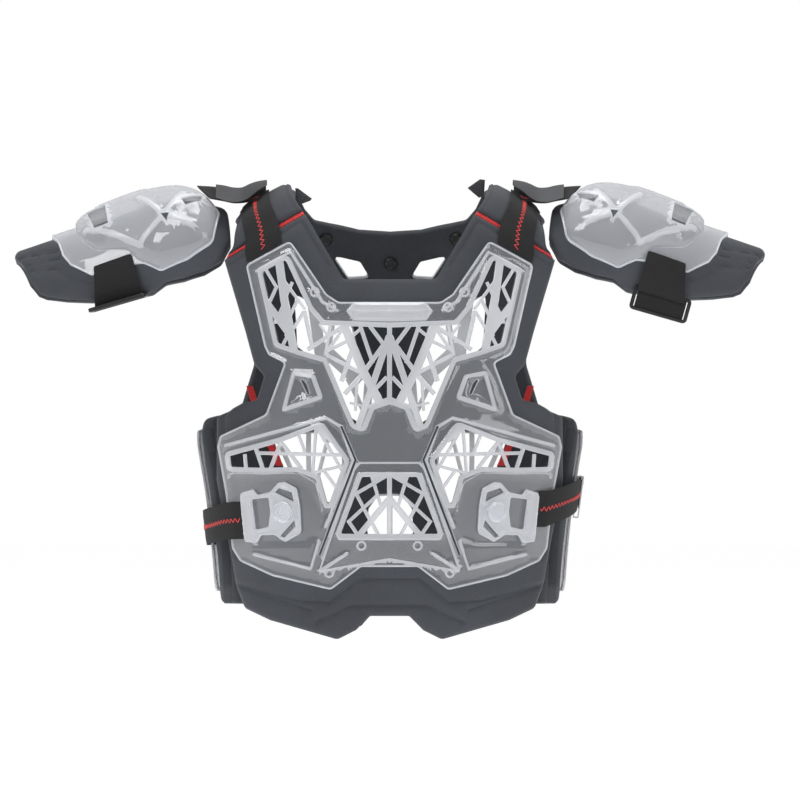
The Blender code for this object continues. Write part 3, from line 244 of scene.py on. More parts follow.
def insideOf(loops, spots):
    inside = np.zeros(len(spots), bool)
    for a, b in zip(*edgesOf(loops)):
        crosses = (a[1] > spots[:, 1]) != (b[1] > spots[:, 1])
        if crosses.any():
            reach = a[0] + (spots[:, 1] - a[1]) / (b[1] - a[1]) * (b[0] - a[0])
            inside ^= crosses & (spots[:, 0] < reach)
    return inside


def bars(rows):
    made = []
    for mirror in (1, -1):
        for x0, y0, x1, y1, width in rows:
            if mirror < 0 and not (x0 or x1):
                continue
            start, end = np.array((x0 * mirror, y0), float), np.array((x1 * mirror, y1), float)
            along = unit(end - start)
            side = np.array((-along[1], along[0])) * width / 2
            start, end = start - along * width * 0.3, end + along * width * 0.3
            made.append(turned(np.array((start - side, end - side, end + side, start + side))))
    return made


def slit(rows):
    left, right = [], []
    for i, (across, down, width) in enumerate(rows):
        here = np.array((across, down))
        side = unit(np.subtract(rows[min(i + 1, len(rows) - 1)][:2], rows[max(i - 1, 0)][:2]))
        side = np.array((-side[1], side[0])) * width / 2
        left.append(here + side)
        right.append(here - side)
    return turned(np.array(left + right[::-1]))


def groups(indices, linked):
    left = set(indices)
    found = []
    while left:
        queue = [left.pop()]
        group = []
        while queue:
            one = queue.pop()
            group.append(one)
            for other in linked[one]:
                if other in left:
                    left.remove(other)
                    queue.append(other)
        found.append(group)
    return found


def keptShape(outline, windows, crossings, smallest):
    # the edge loops left when the windows are cut from the outline and the bars put back
    points, faces = [], []
    for loop in [outline] + windows + crossings:
        faces.append(list(range(len(points), len(points) + len(loop))))
        points.extend(Vector(p) for p in loop)
    flat, _e, triangles, _v, _f, sources = delaunay_2d_cdt(points, [], faces, 1, 0.12)
    keep, gaps = set(), set()
    for i, ids in enumerate(sources):
        if 0 in ids:
            inWindow = any(1 <= k <= len(windows) for k in ids)
            inBar = any(k > len(windows) for k in ids)
            (gaps if inWindow and not inBar else keep).add(i)
    owners = {}
    for i, triangle in enumerate(triangles):
        for a, b in zip(triangle, triangle[1:] + triangle[:1]):
            owners.setdefault((min(a, b), max(a, b)), []).append(i)
    linked = [set() for _ in triangles]
    for pair in owners.values():
        for i in pair:
            linked[i].update(j for j in pair if j != i)
    openings = 0
    for group in groups(gaps, [{j for j in near if j in gaps} for near in linked]):
        area = sum(abs((flat[t[1]] - flat[t[0]]).cross(flat[t[2]] - flat[t[0]])) / 2
                   for t in (triangles[i] for i in group))
        if area < smallest:
            keep.update(group)
        else:
            openings += 1
    keep = max(groups(keep, [{j for j in near if j in keep} for near in linked]), key=len)
    follows = {}
    directed = {edge for i in keep for edge in zip(triangles[i], triangles[i][1:] + triangles[i][:1])}
    for a, b in directed:
        if (b, a) not in directed:
            follows.setdefault(a, []).append(b)
    pinched = {a for a, on in follows.items() if len(on) > 1}
    loops = []
    while follows:
        start = min(follows)
        loop = [start]
        while True:
            here = loop[-1]
            back = flat[loop[-2]] - flat[here] if len(loop) > 1 else Vector((1, 0))
            on = min(sorted(follows[here]), key=lambda k: turnFrom(back, flat[k] - flat[here]))
            follows[here].remove(on)
            if not follows[here]:
                del follows[here]
            if on == start:
                break
            loop.append(on)
        loops.append(openedLoop(loop, flat, pinched))
    return loops, openings


def turnFrom(back, on):
    return (math.atan2(on.y, on.x) - math.atan2(back.y, back.x)) % (2 * math.pi)


def openedLoop(loop, flat, pinched):
    # without the straight corners, and moved apart where two loops would touch
    corners = []
    for i, index in enumerate(loop):
        here = flat[index]
        came = (here - flat[loop[i - 1]]).normalized()
        goes = (flat[loop[(i + 1) % len(loop)]] - here).normalized()
        if index in pinched:
            away = Vector((came.y + goes.y, -came.x - goes.x))
            corners.append(tuple(here + away.normalized() * 0.5))
        elif came.angle(goes) > 0.03:
            corners.append(tuple(here))
    return np.array(corners)


# Meshes

pieces = []


def addPiece(name, verts, faces, material, nodes=(), slot=None, sharp=35, padded=None):
    data = bpy.data.meshes.new(name)
    data.from_pydata([tuple(map(float, v)) for v in verts], [], [tuple(map(int, f)) for f in faces])
    data.validate()
    shape = bmesh.new()
    shape.from_mesh(data)
    bmesh.ops.recalc_face_normals(shape, faces=shape.faces)
    shape.to_mesh(data)
    shape.free()
    data.materials.append(material)
    data.shade_smooth()
    data.set_sharp_from_angle(angle=math.radians(sharp))
    made = bpy.data.objects.new(name, data)
    bpy.context.scene.collection.objects.link(made)
    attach(made, "root")
    if nodes:
        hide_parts(*nodes)
    pieces.append(made)
    return made


def hexGrid(loops, grid, clear):
    # a grid of spots inside the loops, kept clear of their edges
    every = np.concatenate(loops)
    (x0, y0), (x1, y1) = every.min(0), every.max(0)
    rows = np.arange(y0, y1, grid * 0.87)
    spots = np.array([(x + (i % 2) * grid / 2, y) for i, y in enumerate(rows) for x in np.arange(x0, x1, grid)])
    spots = spots[insideOf(loops, spots)]
    return spots[distanceTo(loops + clear, spots) > grid * 0.4]


def moulded(name, place, outline, low, high, material, windows=(), crossings=(), guides=(), lines=(),
            smallest=16.0, side=1, grid=6.0, longest=4.0, edge=0.45, frostAndGlare=None, **kept):
    # a sheet between two heights, with chamfered edges; low and high are numbers or take the spots
    shape, openings = keptShape(outline, list(windows), list(crossings), smallest)
    shape = [divided(loop, longest) for loop in shape]
    guides = [divided(loop, longest) for loop in guides]
    points, links = [], []
    for loop in shape + guides:
        first = len(points)
        points.extend(Vector(p) for p in loop)
        links.extend((first + i, first + (i + 1) % len(loop)) for i in range(len(loop)))
    for line in lines:
        line = divided(line, longest, closed=False)
        first = len(points)
        points.extend(Vector(p) for p in line)
        links.extend((first + i, first + i + 1) for i in range(len(line) - 1))
    points.extend(Vector(p) for p in hexGrid(shape, grid, guides))
    flat, _edges, triangles = delaunay_2d_cdt(points, links, [], 0, 0.1, False)[:3]
    flat = np.array([tuple(p) for p in flat])
    triangles = np.array(triangles)
    triangles = triangles[insideOf(shape, flat[triangles].mean(1))]
    directed = {edge for t in triangles.tolist() for edge in zip(t, t[1:] + t[:1])}
    rims = sorted(e for e in directed if e[::-1] not in directed)
    inward = np.zeros((len(flat), 2))
    for a, b in rims:
        along = unit(flat[b] - flat[a])
        for i in (a, b):
            inward[i] += (-along[1], along[0])
    onRim = sorted({i for e in rims for i in e})
    moved = flat.copy()
    size = np.maximum(np.linalg.norm(inward[onRim], axis=1, keepdims=True), 0.9)
    moved[onRim] += inward[onRim] / size * edge
    used = np.unique(triangles)
    lows = low(moved[used]) if callable(low) else np.full(len(used), low)
    highs = high(moved[used]) if callable(high) else np.full(len(used), high)
    base, normal = place(moved[used])
    spotOf = {int(i): k for k, i in enumerate(used)}
    rimAt = [spotOf[i] for i in onRim]
    rimBase, rimNormal = place(flat[onRim])
    cut = np.minimum(edge * step, (highs[rimAt] - lows[rimAt]) * 0.35)
    verts = np.concatenate([base + normal * highs[:, None], base + normal * lows[:, None],
                            rimBase + rimNormal * (highs[rimAt] - cut)[:, None],
                            rimBase + rimNormal * (lows[rimAt] + cut)[:, None]])
    count, rim = len(used), {i: k for k, i in enumerate(onRim)}
    faces = []
    # faces in the mask take the frosted sheet: frosted finish on lattices and frames, painted highlight on ridges,
    # marks and edge lips
    milkAndGlare = frostAndGlare(flat[triangles].mean(1)) if frostAndGlare else np.zeros(len(triangles), bool)
    for a, b, c in triangles:
        a, b, c = spotOf[a], spotOf[b], spotOf[c]
        faces.append((a, b, c))
        faces.append((count + c, count + b, count + a))
    for a, b in rims:
        upA, upB = 2 * count + rim[a], 2 * count + rim[b]
        downA, downB = upA + len(onRim), upB + len(onRim)
        a, b = spotOf[a], spotOf[b]
        faces += [(b, a, upA, upB), (upB, upA, downA, downB), (downB, downA, count + a, count + b)]
    facing = np.cross(verts[faces[0][1]] - verts[faces[0][0]], verts[faces[0][2]] - verts[faces[0][0]])
    if facing @ normal[faces[0][0]] < 0:
        faces = [f[::-1] for f in faces]
    if side < 0:
        verts = verts * (-1, 1, 1)
        faces = [f[::-1] for f in faces]
    print(name, len(faces), "faces,", openings, "openings")
    made = addPiece(name, verts, faces, material, **kept)
    # every rim face takes the frosted sheet as well, a painted highlight along the chamfered edges
    if frostAndGlare:
        made.data.materials.append(frostedGlareSheet)
        shades = np.concatenate([np.repeat(milkAndGlare, 2), np.ones(len(faces) - 2 * len(milkAndGlare), bool)])
        made.data.polygons.foreach_set("material_index", shades.astype(np.int32))
    return made


def sweep(name, rows, wall, material, side=1, **kept):
    # a flat strap through rows of points, each row running across it, with softened edges
    rows = np.array(rows, float)
    along = np.gradient(rows, axis=0)
    across = np.gradient(rows, axis=1)
    normal = unit(np.cross(along, across))
    half = np.full(rows.shape[1], wall / 2)
    half[0] = half[-1] = wall * 0.22
    top = rows + normal * half[None, :, None]
    foot = rows - normal * half[None, :, None]
    rings = np.concatenate([top, foot[:, ::-1]], 1)
    count = rings.shape[1]
    verts = rings.reshape(-1, 3)
    faces = []
    for i in range(len(rings) - 1):
        for k in range(count):
            n = (k + 1) % count
            faces.append((i * count + k, i * count + n, (i + 1) * count + n, (i + 1) * count + k))
    for base, flip in ((0, False), ((len(rings) - 1) * count, True)):
        for k in range(rings.shape[1] // 2 - 1):
            face = (base + k, base + count - 1 - k, base + count - 2 - k, base + k + 1)
            faces.append(face if flip else face[::-1])
    a, b, c, d = [verts[i] for i in faces[0]]
    if np.cross(b - a, c - a) @ normal[0, 0] < 0:
        faces = [f[::-1] for f in faces]
    if side < 0:
        verts = verts * (-1, 1, 1)
        faces = [f[::-1] for f in faces]
    return addPiece(name, verts, faces, material, **kept)


def tubes(name, paths, radius, material, sides=6, side=1, **kept):
    # round threads or wires along paths of points, in one mesh
    verts, faces = [], []
    for path in paths:
        path = np.array(path, float)
        along = unit(np.gradient(path, axis=0))
        first = unit(np.cross(along, (0.31, 0.55, 0.77)))
        second = np.cross(along, first)
        base = len(verts)
        for p, u, v in zip(path, first, second):
            for k in range(sides):
                angle = 2 * math.pi * k / sides
                verts.append(p + radius * (u * math.cos(angle) + v * math.sin(angle)))
        for i in range(len(path) - 1):
            for k in range(sides):
                n = (k + 1) % sides
                faces.append((base + i * sides + k, base + i * sides + n,
                              base + (i + 1) * sides + n, base + (i + 1) * sides + k))
        faces.append(tuple(base + k for k in range(sides))[::-1])
        faces.append(tuple(base + (len(path) - 1) * sides + k for k in range(sides)))
    verts = np.array(verts)
    if side < 0:
        verts = verts * (-1, 1, 1)
        faces = [f[::-1] for f in faces]
    return addPiece(name, verts, faces, material, **kept)


def turnedSolid(name, profile, centre, axis, count, material, flutes=0, fluteDepth=0.0, **kept):
    # rows of radius and height along the axis, closed at both ends
    axis = Vector(axis)
    sideways = axis.orthogonal().normalized()
    other = axis.cross(sideways)
    verts, faces = [], []
    for radius, height in profile:
        for k in range(count):
            angle = 2 * math.pi * k / count
            reach = radius * (1 - fluteDepth * (0.5 - 0.5 * math.cos(angle * flutes)))
            verts.append(Vector(centre) + axis * height + sideways * reach * math.cos(angle)
                         + other * reach * math.sin(angle))
    for i in range(len(profile) - 1):
        for k in range(count):
            n = (k + 1) % count
            faces.append((i * count + k, i * count + n, (i + 1) * count + n, (i + 1) * count + k))
    faces.append(tuple(range(count))[::-1])
    faces.append(tuple((len(profile) - 1) * count + k for k in range(count)))
    return addPiece(name, verts, faces, material, **kept)


def softRing(name, centre, wide, tall, width, height, bar, depth, material, corner=0.0022, **kept):
    # a rectangular ring with rounded corners and edges
    wide, tall = unit(np.array(wide, float)), unit(np.array(tall, float))
    thick = np.cross(wide, tall)
    section = [(0, -0.32), (0, 0.32), (0.2, 0.5), (0.8, 0.5), (1, 0.32), (1, -0.32), (0.8, -0.5), (0.2, -0.5)]
    outline = []
    for cx, cy, start in ((1, 1, 0), (-1, 1, 90), (-1, -1, 180), (1, -1, 270)):
        for k in range(5):
            angle = math.radians(start + 22.5 * k)
            outline.append((cx * (width / 2 - corner), cy * (height / 2 - corner), math.cos(angle), math.sin(angle)))
    verts, faces = [], []
    for x, y, c, s in outline:
        for inner, level in section:
            reach = corner - inner * bar
            verts.append(np.array(centre) + wide * (x + c * reach) + tall * (y + s * reach) + thick * depth * level)
    count, n = len(outline), len(section)
    for i in range(count):
        for k in range(n):
            a, b = i * n + k, i * n + (k + 1) % n
            c, d = (i + 1) % count * n + (k + 1) % n, (i + 1) % count * n + k
            faces.append((a, b, c, d))
    return addPiece(name, verts, faces, material, **kept)


# Materials

def newMaterial(name, colour, roughness, **sockets):
    made = bpy.data.materials.new(name)
    made.use_nodes = True
    nodes, links = made.node_tree.nodes, made.node_tree.links
    shader = nodes["Principled BSDF"]
    shader.inputs["Base Color"].default_value = (*colour, 1)
    shader.inputs["Roughness"].default_value = roughness
    for socket, value in sockets.items():
        shader.inputs[socket.replace("_", " ")].default_value = value
    where = nodes.new("ShaderNodeTexCoord").outputs["Object"]
    return made, nodes, links, shader, where


def texture(nodes, links, where, kind, scale, **sockets):
    made = nodes.new("ShaderNodeTex" + kind)
    links.new(where, made.inputs["Vector"])
    made.inputs["Scale"].default_value = scale
    for socket, value in sockets.items():
        made.inputs[socket].default_value = value
    return made.outputs[0]


def shades(nodes, links, value, dark, light, low=0.3, high=0.7):
    ramp = nodes.new("ShaderNodeValToRGB")
    ramp.color_ramp.elements[0].position = low
    ramp.color_ramp.elements[1].position = high
    ramp.color_ramp.elements[0].color = (*dark, 1)
    ramp.color_ramp.elements[1].color = (*light, 1)
    links.new(value, ramp.inputs["Fac"])
    return ramp.outputs["Color"]


def between(nodes, links, value, low, high):
    made = nodes.new("ShaderNodeMapRange")
    links.new(value, made.inputs["Value"])
    made.inputs["To Min"].default_value = low
    made.inputs["To Max"].default_value = high
    return made.outputs["Result"]


def bumped(nodes, links, shader, heights, strength, distance):
    total = heights[0]
    for height in heights[1:]:
        add = nodes.new("ShaderNodeMath")
        add.operation = "ADD"
        links.new(total, add.inputs[0])
        links.new(height, add.inputs[1])
        total = add.outputs[0]
    bump = nodes.new("ShaderNodeBump")
    bump.inputs["Strength"].default_value = strength
    bump.inputs["Distance"].default_value = distance
    links.new(total, bump.inputs["Height"])
    links.new(bump.outputs["Normal"], shader.inputs["Normal"])


def fabric(name, dark, light, roughness, weave, strength=0.5, sheen=0.3, blotch=9.0):
    made, nodes, links, shader, where = newMaterial(name, light, roughness, Sheen_Weight=sheen, Sheen_Roughness=0.4)
    clouds = texture(nodes, links, where, "Noise", blotch, Detail=4.0)
    threads = texture(nodes, links, where, "Voronoi", weave)
    mix = nodes.new("ShaderNodeMath")
    mix.operation = "MULTIPLY_ADD"
    links.new(threads, mix.inputs[0])
    mix.inputs[1].default_value = 0.25
    links.new(clouds, mix.inputs[2])
    links.new(shades(nodes, links, mix.outputs[0], dark, light, 0.35, 0.85), shader.inputs["Base Color"])
    links.new(between(nodes, links, clouds, roughness - 0.08, roughness + 0.06), shader.inputs["Roughness"])
    bumped(nodes, links, shader, [threads, texture(nodes, links, where, "Noise", weave * 0.4)], strength, 0.0006)
    return made


def clearPlastic(name, tint, roughness, ior=1.5, clearness=1.0, milk=0.0):
    # clear moulded sheet, milky, and whiter where it is seen edge on, a painted highlight; light from the lamps passes
    # through to the foam
    made, nodes, links, shader, where = newMaterial(name, tint, roughness, Transmission_Weight=clearness, IOR=ior)
    clouds = texture(nodes, links, where, "Noise", 14.0, Detail=3.0)
    links.new(between(nodes, links, clouds, roughness * 0.6, roughness * 1.5), shader.inputs["Roughness"])
    bumped(nodes, links, shader, [clouds], 0.12, 0.0015)
    through = nodes.new("ShaderNodeBsdfTransparent")
    through.inputs["Color"].default_value = (0.93, 0.94, 0.95, 1)
    rays = nodes.new("ShaderNodeLightPath")
    mix = nodes.new("ShaderNodeMixShader")
    links.new(rays.outputs["Is Shadow Ray"], mix.inputs[0])
    links.new(milkAndGlare(nodes, links, shader, milk) if milk else shader.outputs[0], mix.inputs[1])
    links.new(through.outputs[0], mix.inputs[2])
    links.new(mix.outputs[0], nodes["Material Output"].inputs["Surface"])
    return made


def milkAndGlare(nodes, links, shader, milk):
    # white diffuse mixed in: a base share of milkiness, rising towards edge-on view as a painted edge highlight
    white = nodes.new("ShaderNodeBsdfDiffuse")
    white.inputs["Color"].default_value = (0.70, 0.71, 0.74, 1)
    facing = nodes.new("ShaderNodeLayerWeight")
    facing.inputs["Blend"].default_value = 0.4
    mix = nodes.new("ShaderNodeMixShader")
    links.new(between(nodes, links, facing.outputs["Facing"], milk, min(milk + 0.3, 0.95)), mix.inputs[0])
    links.new(shader.outputs[0], mix.inputs[1])
    links.new(white.outputs[0], mix.inputs[2])
    return mix.outputs[0]


def plastic(name, dark, light, roughness):
    made, nodes, links, shader, where = newMaterial(name, light, roughness)
    clouds = texture(nodes, links, where, "Noise", 60.0, Detail=5.0)
    links.new(shades(nodes, links, clouds, dark, light), shader.inputs["Base Color"])
    links.new(between(nodes, links, clouds, roughness * 0.7, roughness * 1.4), shader.inputs["Roughness"])
    bumped(nodes, links, shader, [texture(nodes, links, where, "Noise", 900.0)], 0.15, 0.0003)
    return made


foamCloth = fabric("foamCloth", (0.030, 0.033, 0.040), (0.054, 0.059, 0.070), 0.85, 900.0, 0.2, 0.12)
# darker cloth for pad insides: lining colour, darkened as painted shade
liningAndShadeCloth = fabric("liningAndShadeCloth", (0.024, 0.027, 0.032), (0.042, 0.046, 0.054), 0.88, 700.0, 0.6, 0.1)
webbing = fabric("webbing", (0.004, 0.004, 0.005), (0.013, 0.013, 0.014), 0.9, 1300.0, 0.7, 0.05)
redThread = fabric("redThread", (0.62, 0.03, 0.03), (0.85, 0.07, 0.065), 0.5, 2500.0, 0.3)
redCloth = fabric("redCloth", (0.50, 0.014, 0.016), (0.72, 0.030, 0.032), 0.6, 1500.0, 0.4)
flapLeather = fabric("flapLeather", (0.022, 0.023, 0.027), (0.048, 0.050, 0.057), 0.6, 500.0, 0.35, 0.05)
clearSheet = clearPlastic("clearSheet", (0.965, 0.97, 0.98), 0.05, 1.5, milk=0.05)
# whiter, rougher sheet: frosted finish on lattices and frames, and painted highlight where it is put on rims, ridges
# and edge lips
frostedGlareSheet = clearPlastic("frostedGlareSheet", (0.96, 0.965, 0.975), 0.14, 1.5, milk=0.38)
clearKnob = clearPlastic("clearKnob", (0.96, 0.965, 0.975), 0.05, 1.5, milk=0.06)
clearDome = clearPlastic("clearDome", (0.96, 0.965, 0.975), 0.07, 1.5, milk=0.16)
clearBuckle = clearPlastic("clearBuckle", (0.92, 0.93, 0.95), 0.09, 1.5, milk=0.4)
blackPlastic = plastic("blackPlastic", (0.005, 0.005, 0.006), (0.011, 0.011, 0.012), 0.34)
print("materials ready")


# Front pad and plate, right half from the top of the middle line down: across, down, corner radius

frontPad = {
    "outline": [
        (0, 89.5, 0), (46, 89.5, 7), (58, 68.4, 0), (84.3, 24.6, 0), (164.7, 70.2, 0), (143.6, 141, 0),
        (134.5, 175, 12), (124.6, 186, 6), (132, 210, 6), (146, 213, 0), (171.6, 227, 6), (172, 290, 0),
        (157, 368.6, 0), (152.6, 395, 0), (143.8, 418, 8), (118.8, 430, 0), (52, 449.3, 8),
        (33.5, 440, 4), (19.5, 425.8, 4), (0, 425.8, 0),
    ],
    "grooves": [
        [(0, 388.8), (29.5, 388.8), (58.9, 412.4), (89.5, 410.5), (148.9, 394.3)],
        [(0, 415.6), (37.5, 415.6), (72.9, 432)], [(77.8, 420), (143.8, 396.5)],
        [(60, 76), (88, 33), (158, 74)], [(150, 205), (163, 226), (163, 290), (150, 366)],
    ],
    "grooveDepth": 0.0024, "grooveWidth": 2.2, "rounding": 6.0, "edgeShare": 0.5,
}
frontPlate = {
    "outline": [
        (0, 112, 0), (51, 112, 8), (63, 104, 6), (99.5, 50.5, 6), (144, 75, 6), (125.3, 156.5, 0),
        (121, 165, 4), (105, 173, 4), (124, 224.5, 6), (170, 246, 5), (172.5, 257, 0),
        (164.3, 302.7, 0), (157.7, 358.4, 5), (150, 371, 6), (117.5, 386, 0), (58.7, 400, 6),
        (28.5, 377, 4), (0, 376.7, 0),
    ],
    "upperWindow": [
        (0, 137.5, 0), (67.5, 135, 4), (81, 119, 4), (104, 69.5, 3), (127.5, 82, 4), (111.5, 153, 4),
        (89.5, 160.5, 0), (63, 168, 5), (35, 234, 4), (27.5, 237, 2), (19, 215.5, 3), (0, 209.2, 0),
    ],
    "sideWindow": [
        (159.6, 266, 0), (108, 252, 0), (69, 237, 3), (45, 271, 2), (61.4, 316.7, 2), (70, 285.5, 3),
        (91.2, 276.9, 3), (126, 277.8, 0), (158.4, 276.9, 2),
    ],
    "lowerWindow": [(0, 286.9, 0), (27.4, 286.9, 2), (48.8, 343.9, 2), (0, 343.9, 0)],
    "scoop": [(97.3, 180.5, 3), (75, 185, 2), (66.5, 208.5, 4), (108.5, 222.4, 2)],
    "scoopFloor": [(96.5, 183, 2), (79, 189.5, 2), (76, 206, 2), (103.5, 218.6, 2)],
    "scoopSlot": [(89.3, 189.9, 0), (87, 189.5, 0), (83.6, 193.3, 0), (80, 203.6, 0), (82, 205, 0)],
    "centreBar": [(0, 112.4, 0), (36.5, 112.4, 2), (43.5, 121, 1), (36.5, 130.5, 2), (0, 131.6, 0)],
    "panel": [(0, 272, 0), (30, 272, 2), (36, 279, 0), (71.5, 382.4, 2), (0, 370, 0)],
    "flexSlit": [(48.5, 236, 2.4), (34, 270, 2.4), (70.5, 365.7, 2.4)],
    "pocket": [(162.8, 283.6, 2), (91, 283.6, 2), (73.3, 293.9, 3), (68.2, 317.4, 0), (70.4, 349.1, 3), (85, 356.2, 2),
               (136, 355.5, 2)],
    "ridges": [[(136.4, 364.3), (79.2, 379), (70.4, 351.1)], [(42.3, 363.3), (69.5, 381)],
               [(0, 121.4), (36, 121.4)], [(52, 120.5), (67, 112), (99, 62), (134, 81.5)],
               [(165, 255.7), (63.1, 227.9), (48.5, 236.7), (36.7, 270.4), (64.6, 337.8)],
               [(0, 284.2), (30.8, 284.2), (52.6, 343.9), (50.3, 348.5), (0, 348.5)]],
    "marks": [(28.1, 355.7), (60.5, 383), (75, 102), (58.5, 117)], "markRadius": 4,
    "upperBars": [
        (110.5, 70, 105, 110, 8), (105, 110, 101, 130, 8), (101, 130, 96, 158, 8),
        (123, 80.5, 113.5, 96.5, 3), (113, 97, 119.5, 111.5, 3), (120, 114.5, 99.5, 142, 4.5),
        (118.5, 122, 102.5, 144, 3), (106.5, 116, 110, 124, 3), (106, 90, 85, 118.5, 3),
        (97.5, 93, 103.5, 106, 3), (91.5, 109, 98.5, 124, 3), (86, 122, 95.5, 138, 3),
        (85, 122, 77, 158, 4), (114.5, 132, 108.5, 132, 3), (102.5, 147, 106, 154, 3),
        (103.5, 145, 93, 158, 3), (81, 159, 48.5, 138, 4), (69.5, 135, 61.5, 145.5, 3),
        (59, 136, 64, 165, 3), (48, 141, 63, 163, 3), (45.5, 135, 26.5, 180.7, 8.5),
        (26.5, 180.7, 9, 214, 8.5), (44, 152, 60.5, 160, 3), (38, 162, 47.5, 190, 4.5),
        (61, 166, 28.5, 183, 4), (28.5, 186, 44, 203, 4.5), (29, 137, 17, 172, 4),
        (30, 140, 38.5, 147, 3), (19, 137, 4, 157, 4), (7.5, 157, 24, 180, 4.5), (0, 135, 0, 211, 5),
        (1, 148, 31, 236, 6.5), (32.5, 192, 34, 220, 3), (39, 213, 22, 217, 2.5),
        (3.5, 188, 15, 200, 4), (20, 217, 0, 208.5, 4),
    ],
    "sideBars": [
        (144.5, 265, 143.5, 278, 3), (133, 260, 126.5, 279, 3.5), (108.5, 252, 119, 279, 3.5),
        (108.5, 252, 88.5, 278, 3.5), (132, 263, 44, 265, 3.5), (90.5, 246, 84, 263, 3),
        (73.5, 240, 77, 284, 3), (71, 240, 46, 283, 3), (71, 239, 59, 251, 3), (77, 283, 48, 276, 3),
        (66, 280, 53, 298, 3),
    ],
    "lowerBars": [
        (0, 285, 0, 346, 5), (1.5, 285, 34, 304, 3.5), (18, 285, 8, 318, 3.5), (13, 306, 39, 330, 3.5),
        (33, 304, 19, 331, 3.5), (41, 331, 31, 346, 3.5), (0.5, 309, 31, 346, 6), (17, 334, 10, 347, 3.5),
    ],
    "rimHeight": 0.0016, "rimWidth": 6.5, "pocketDepth": 0.0009,
}


def cushion(loops, full, edgeShare, reach):
    def height(spots):
        t = np.minimum(distanceTo(loops, spots) / reach, 1)
        return full * (edgeShare + (1 - edgeShare) * np.sqrt(np.maximum(1 - (1 - t) ** 2, 0)))
    return height


def grooved(height, lines, depth, width):
    def cut(spots):
        near = distanceTo(lines, spots, closed=False)
        return height(spots) - depth * np.exp(-(near / width) ** 2)
    return cut


def beside(line, distance):
    along = unit(np.gradient(line, axis=0))
    return line + np.stack([-along[:, 1], along[:, 0]], 1) * distance


def bothLines(lines):
    made = []
    for line in lines:
        line = np.array(line, float)
        made += [line, line * (-1, 1)]
    return made


def circle(x, y, radius, count=16):
    angles = np.linspace(0, 2 * math.pi, count, endpoint=False)
    return np.stack([x + radius * np.cos(angles), y + radius * np.sin(angles)], 1)


def smoothStep(t):
    t = np.clip(t, 0, 1)
    return t * t * (3 - 2 * t)


